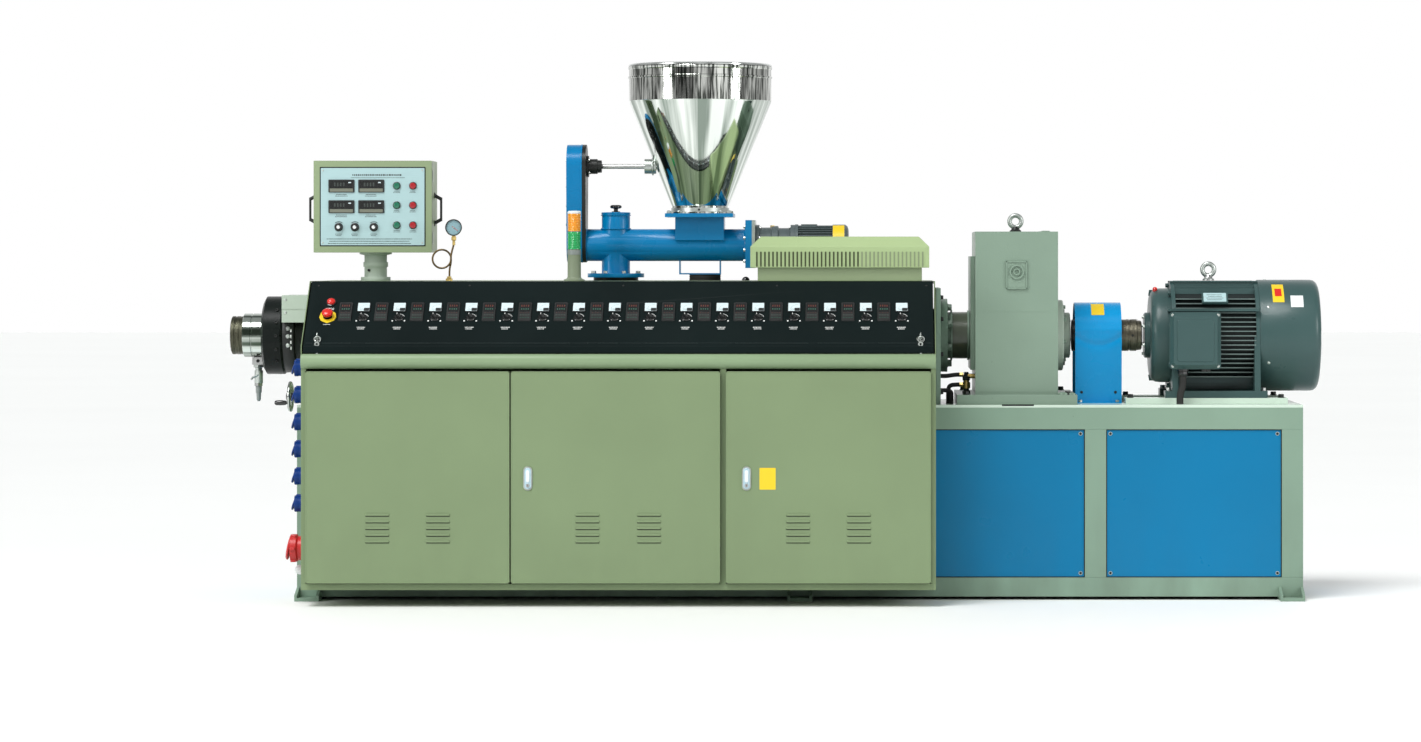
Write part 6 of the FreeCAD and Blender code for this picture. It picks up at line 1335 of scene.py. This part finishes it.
# ---- hopper ----------------------------------------------------------------------------
HOPPER_X = -278.6
hopper_base = at(HOPPER_X, 0, 1422, UP)
hopper = Piece()
hopper.turned(hopper_base, [(0, 94), (0, 116), (6, 116), (6, 106), (28, 106), (30, 108),
    (415, 265.2), (420, 266.4), (548, 266.4), (548, 263.5), (420, 263.5), (30, 103), (0, 94)],
    METAL["hopper"], 128)
hopper.turned(hopper_base.out(421), [(0, 266.2), (1, 266.8), (83, 266.8), (85, 270.4), (91, 270.4),
    (93, 266.8), (116, 266.8), (119, 269), (126, 270), (129, 268), (129, 265), (0, 266.2)],
    METAL["rim"], 128)
for index in range(4):
    angle = pi / 4 + index * pi / 2
    spot = hopper_base.moved(111 * cos(angle), 111 * sin(angle), 6)
    hopper.bolt(spot, 8, ZINC)
hopper.pipe(hopper_base.out(7), 100, 108.5, 14, ZINC, 96)
hopper.block(at(HOPPER_X, -108, 1436, FRONT), 34, 12, 7, ZINC, 2)
hopper.screw(at(HOPPER_X, -115, 1436, FRONT), 4, BLACKENED)
side = axis_place(-478, LEFT, 0.0, AGITATOR)
hopper.pipe(side.out(-34), 9.6, 28, 43, ZINC, 40)
hopper.loop(side.out(-22), 30, 4, ZINC, 40, 10)
hopper.finish("hopper_cone", "stainless", ("hopper_shell",), 0.3, 28.0)

lid = Piece()
lid_place = at(HOPPER_X, 0, 1972, UP)
lid.turned(lid_place, [(0, 0), (0, 266.5), (1, 268.5), (5, 268.5), (8, 266), (10, 258), (11, 240),
    (11, 0)], METAL["sheet"], 128)
lid.finish("hopper_cover_sheet", "stainless", ("hopper_lid",), 0, body="hopper_cover")

# ---- vent hood -------------------------------------------------------------------------
HOOD_X = 248.5
HOOD_FRONT = -430.0
hood = Piece()
base_low, base_high = HOOD_X - 300.5, HOOD_X + 300.5
hood.box(mm(base_low, HOOD_FRONT + 19, COVER), mm(base_high, HOOD_FRONT + 311, 1221),
    PAINT["hood_base"])
lid_low, lid_high = HOOD_X - 327, HOOD_X + 327
front, rear = HOOD_FRONT, HOOD_FRONT + 330
side_points = [mm(x, y, z) for z in (1220, 1297) for x, y in ((lid_low, front), (lid_high, front),
    (lid_high, rear), (lid_low, rear))]
roof = [mm(x, y, 1334) for x, y in ((lid_low + 38, front + 38), (lid_high - 38, front + 38),
    (lid_high - 38, rear - 38), (lid_low + 38, rear - 38))]
around = [[k, (k + 1) % 4, 4 + (k + 1) % 4, 4 + k] for k in range(4)]
slope = [[4 + k, 4 + (k + 1) % 4, 8 + (k + 1) % 4, 8 + k] for k in range(4)]
hood.faces(side_points + roof, around + slope + [[3, 2, 1, 0], [8, 9, 10, 11]], PAINT["hood"])
hood.finish("vent_hood_sheets", "cabinet_paint", ("vent_hood",), 2.0)

slots = Piece()
slot_pitch = 606 / 41
for index in range(42):
    x = HOOD_X - 303 + index * slot_pitch
    place = at(x, front, 1251, FRONT)
    shade = PLASTIC["slot"] if index < 26 else PLASTIC["pale_slot"]
    slots.block(place, 6.4, 56, 0.2, shade, 3)
    slots.block(place.moved(5.2, 0), 3.4, 57, 1.2, PAINT["hood"], 1.5)
for index in range(19):
    for x, outward in ((lid_low, LEFT), (lid_high, RIGHT)):
        place = at(x, front + 31 + index * 14.8, 1251, outward)
        slots.block(place, 6.4, 56, 0.2, PLASTIC["slot"], 3)
slots.finish("vent_hood_slots", "cabinet_paint", edge=0)

# ---- signal tower and gauge ------------------------------------------------------------
tower = Piece()
tower_base = at(-737.5, -200, COVER, UP)
tower.turned(tower_base, [(0, 39), (4, 39), (6, 34), (9, 28), (14, 25), (104, 24.5), (106, 25),
    (116, 25)], PAINT["tower"], 48)
tower.turned(tower_base.out(96), [(0, 24), (1, 25.4), (17, 25.4), (18, 24)], PLASTIC["grey"], 48)
for place in ring_places(tower_base, 34, 3, 0.6):
    tower.domed(place.out(5), 3, ZINC)
tower.finish("signal_tower_stem", "pole_paint", ("signal_tower_pole",), 0.4)

lamps = Piece()
lamp_base = tower_base.out(116)
for level, material in ((0, PLASTIC["green_lens"]), (1, PLASTIC["amber_lens"])):
    start = lamp_base.out(level * 67)
    profile = [(0, 25), (4, 25)]
    for rib in range(9):
        z = 7 + rib * 6.2
        profile += [(z, 23.6), (z + 2.2, 24.8), (z + 4, 24.8)]
    profile += [(66, 24)]
    lamps.turned(start, profile, material, 48)
    lamps.turned(start.out(-1.5), [(0, 25), (3, 25)], PLASTIC["grey"], 48)
lamps.turned(lamp_base.out(133), [(0, 25), (6, 25), (10, 21), (11, 0)], WHITE, 48)
lamps.finish("signal_lamps", "lamp_plastic", ("signal_tower_lamps",), 0)

gauge = Piece()
GAUGE_X, GAUGE_Y = -1179, -250
dial = at(GAUGE_X, GAUGE_Y, 1368, FRONT)
gauge.turned(dial.out(-15), [(0, 26), (2, 29), (24, 29), (25, 31), (29, 31),
    (30, 29.5), (30, 27.6), (22, 27)], BLACKENED, 56)
gauge.turned(dial.out(9), [(0, 27), (2, 27)], PLASTIC["gauge"], 56)
for tick in range(26):
    angle = radians(225 - tick * 270 / 25)
    long = tick % 5 == 0
    start = 20.0 if long else 22.0
    gauge.tube([dial(start * cos(angle), start * sin(angle), 11.3),
        dial(24.5 * cos(angle), 24.5 * sin(angle), 11.3)], (0.5 if long else 0.3), INK, 6)
needle = radians(-38)
gauge.tube([dial(-7 * cos(needle), -7 * sin(needle), 12), dial(19 * cos(needle), 19 * sin(needle),
    12)], 0.8, RED, 6)
gauge.drum(dial.out(11), 3, 2, STEEL, 20)
gauge.tube(dial.arc(30.4, 13.6, 200, 10, 15), 1, CHROME, 8)
stem = at(GAUGE_X, GAUGE_Y, 1340, DOWN)
gauge.turned(stem, [(0, 8), (6, 8), (7, 10), (19, 10), (20, 6), (26, 5)], BRASS, 6)
gauge.turned(at(-1196, GAUGE_Y, COVER, UP), [(0, 14), (8, 14), (10, 9), (16, 9), (17, 4)],
    BRASS, 6)
gauge.turned(at(GAUGE_X, GAUGE_Y, 1316, DOWN), [(0, 6), (13, 6)], BRASS, 6)
gauge.finish("gauge_and_fittings", "raw_steel", ("pressure_gauge",), 0.3)
LOOP_CORNERS = 8
loop_reach = 34 / cos(pi / LOOP_CORNERS)
pigtail = [mm(GAUGE_X, GAUGE_Y, 1306)]
for corner in range(LOOP_CORNERS + 2):
    angle = pi / LOOP_CORNERS * (1 - 2 * corner)
    pigtail.append(mm(-1224 + loop_reach * cos(angle), GAUGE_Y + corner,
        1252 + loop_reach * sin(angle)))
pigtail += [mm(-1196, -241, 1215), mm(-1196, -241, 1180)]
smooth_hose("gauge_pigtail", pigtail, 3.5, METAL["copper"], slot="raw_steel")

# ---- operator box ----------------------------------------------------------------------
BOX_X = -1484.5
BOX_BOTTOM = 1276.0
box_front = -200.0


def box_spot(column, row, proud=2.0):
    return at(BOX_X + column, box_front - proud, BOX_BOTTOM + row, FRONT)


panel = Piece()
panel.block(box_spot(0, 170, 0), 392, 294, 1, GAP_SHADE, 3)
panel.block(box_spot(0, 170, 1), 384, 286, 1.2, METAL["aluminium"], 3)
for spot in corners(box_spot(0, 170, 2.2), 184, 134):
    panel.domed(spot, 3.5, ZINC)
text_bars(panel, box_spot(20, 287, 2.2), (190,), 7, 7, INK, 31)
text_bars(panel, box_spot(20, 277, 2.2), (200,), 7, 2.5, INK, 32)
for column in (-115.5, -5.0):
    for row in (246.0, 169.5):
        text_bars(panel, box_spot(column, row - 31, 2.2), (40, 46), 6, 3.4, INK, int(row + column))
for column in (-125.5, -65.5, 4.5):
    text_bars(panel, box_spot(column, 68, 2.2), (26, 22), 5.5, 3, INK, int(column))
for column in (89.5, 149.5):
    for row in (247.0, 175.0, 101.0):
        text_bars(panel, box_spot(column, row - 20, 2.2), (22, 26), 5, 2.6, INK, int(row * column))
text_bars(panel, box_spot(-10, 50, 2.2), (320, 300, 310), 8.5, 3.6, INK, 41)
panel.finish("operator_face", "aluminium", ("operator_plate",), 0.2, body="operator_station")

meters = Piece()
for column in (-115.5, -5.0):
    for row in (246.0, 169.5):
        spot = box_spot(column, row)
        meters.plate(spot, rounded_outline(97, 48, 3), 4.5, BLACK, 0.98)
        face = spot.out(4.5)
        meters.block(face.moved(0, 5.5), 84, 29, 0.4, GLOSS, 1.5)
        meters.block(face.moved(0, -15), 86, 12, 0.5, PLASTIC["strip"], 1.5)
        for digit in range(4):
            meters.block(face.moved((digit - 2.2) * 11, 6, 0.4), 6, 13, 0.2, PLASTIC["key"])
        meters.block(face.moved(31, 13, 0.4), 10, 4, 0.2, PLASTIC["dial"])
for column in (-125.5, -65.5, 4.5):
    knob = box_spot(column, 94)
    meters.turned(knob, [(0, 16), (3, 16), (5, 13), (15, 12), (16, 11)], BLACK, 28)
    meters.drum(knob.out(16), 6.5, 0.8, WHITE, 28)
    meters.tube(knob.arc(20, 0.3, 50, 8, 11), 1.2, INK, 6)
    meters.block(knob.moved(4, 4, 16.6), 1.2, 6, 0.4, INK)
for column, colour in ((89.5, "green"), (149.5, "button_red")):
    for row in (247.0, 175.0, 101.0):
        button = box_spot(column, row)
        meters.turned(button, [(0, 14.5), (3, 14.5), (4.5, 12.4)], BLACK, 32)
        meters.turned(button.out(4.5), [(0, 11.9), (3.6, 11.4), (4.5, 9.5), (4.2, 0)],
            PLASTIC[colour], 32)
meters.finish("operator_controls", "black_plastic", ("operator_instruments",), 0.3,
    body="operator_station")

handles = Piece()
for side in (-1, 1):
    wall = BOX_X + side * 219
    reach = wall + side * 25
    for inner, outer in ((1385, 1399), (1489, 1475)):
        handles.tube([mm(wall, -100, inner), mm(reach, -100, outer)], 6.5, BLACK, 14)
    handles.tube([mm(reach, -100, 1393), mm(reach, -100, 1481)], 4.5, BLACK, 14)
    for z in (1385, 1489):
        outward = RIGHT if side > 0 else LEFT
        handles.turned(at(wall, -100, z, outward), [(0, 11), (3, 11), (5, 8)], GLOSS, 24)
handles.finish("operator_box_handles", "polished_steel", ("operator_handles",), 0,
    body="operator_station")

box_trim = Piece()
for z, outward in ((1616, UP), (1276, DOWN)):
    box_trim.block(at(BOX_X, -188, z, outward), 3, 430, 0.4, GAP_SHADE)
for side, outward in ((-219, LEFT), (219, RIGHT)):
    box_trim.box(mm(BOX_X + side - 0.4, -189, 1282), mm(BOX_X + side + 0.4, -187, 1610), GAP_SHADE)
    for z in (1330, 1560):
        box_trim.box(mm(BOX_X + side - 3, -176, z - 22), mm(BOX_X + side + 3, -168, z + 22), ZINC)
# painted shade: dark strips for the vent slots on the box's back
for row in range(6):
    box_trim.block(at(BOX_X, 0, 1400 + row * 16, BACK), 150, 5, 1, GAP_SHADE, 2)
for a in (-195, 195):
    for z in (1300, 1592):
        box_trim.domed(at(BOX_X + a, 0, z, BACK), 5, ZINC)
box_trim.turned(at(BOX_X, -100, 1276, DOWN), [(0, 60), (6, 60), (9, 46)], PALE, 48)
box_trim.finish("operator_box_trim", "cabinet_paint", edge=0.2, body="operator_station")

pedestal_trim = Piece()
pedestal_base = at(BOX_X, -100, COVER, UP)
pedestal_trim.turned(pedestal_base.out(6), [(0, 46), (4, 46), (7, 43)], PALE, 48)
pedestal_trim.loop(pedestal_base.out(62), 42, 2, PALE, 44, 8)
pedestal_trim.screw(Place(mm(BOX_X - 20, -137, 1210), (-0.45, -0.9, 0)), 5, BLACKENED)
pedestal_trim.finish("pedestal_rings", "frame_paint", edge=0.3)

# ---- left end --------------------------------------------------------------------------
WALL_X = -1685.5
sockets = Piece()
for index in range(6):
    z = 365 + 98.3 * index
    base = at(WALL_X, -560, z, LEFT)
    sockets.block(base, 70, 70, 8, SOCKET_BLUE, 6)
    sockets.turned(base.out(8), [(0, 30), (18, 29), (20, 30), (32, 30), (32, 24), (14, 24),
        (14, 0)], SOCKET_BLUE, 40)
    cover = Place(base(0, 4, 40), (-0.94, 0, 0.34))
    sockets.turned(cover, [(-2, 28), (2, 29), (4, 26)], SOCKET_BLUE, 36)
    sockets.block(base.moved(0, 30, 8), 26, 8, 26, SOCKET_BLUE, 2)
    for spot in corners(base.out(8), 28, 28):
        sockets.domed(spot, 3.5, ZINC)
main_base = at(WALL_X, -560, 204, LEFT)
sockets.block(main_base, 96, 96, 10, SOCKET_RED, 8)
sockets.turned(main_base.out(10), [(0, 44), (16, 44), (22, 50), (44, 50), (44, 41), (26, 41),
    (26, 0)], SOCKET_RED, 48)
main_cover = Place(main_base(0, 3, 56), (-0.97, 0, 0.2))
sockets.turned(main_cover, [(0, 46), (4, 47), (8, 42)], SOCKET_RED, 44)
for place in ring_places(main_base.out(34), 50, 6):
    sockets.block(place, 12, 12, 18, SOCKET_RED, 3)
gland = at(WALL_X, -490, 121, LEFT)
sockets.turned(gland, [(0, 19), (10, 19), (11, 15), (20, 15)], WHITE, 6)
sockets.turned(gland.out(20), [(0, 18), (14, 18), (26, 12), (28, 8)], WHITE, 36)
sockets.turned(at(WALL_X, -440, 749, LEFT), [(0, 22), (8, 20), (36, 20), (40, 17), (40, 8.2)],
    STEEL, 36)
sockets.finish("wall_sockets", "blue_plastic", ("left_wall_fittings",), 0.5)

wheel_place = at(-1757.5, -440, 749, LEFT)


def wheel_spot(radius, angle):
    return wheel_place(-radius * cos(angle), radius * sin(angle))


wheel = Piece()
wheel.loop(wheel_place, 49, 7, CHROME, 56, 16)
wheel.turned(wheel_place.out(-13), [(0, 14), (26, 14), (28, 11), (28, 0)], BLACKENED, 32)
GRIP_ANGLE = pi + asin(21.0 / 49.0)
for spoke in range(3):
    angle = GRIP_ANGLE + 2 * pi * spoke / 3
    wheel.tube([wheel_spot(10, angle), wheel_spot(49, angle)], 5, CHROME, 12)
wheel.drum(at(-1693.5, -440, 749, LEFT), 8, 58, STEEL, 28)
grip = Place(wheel_spot(49, GRIP_ANGLE), LEFT)
wheel.turned(grip, [(0, 5), (9, 5), (10, 8), (26, 9.5), (46, 9), (51, 6), (53, 0)], GLOSS, 28)
wheel.finish("handwheel_assembly", "black_plastic", ("handwheel",), 0.3, body="wheel")
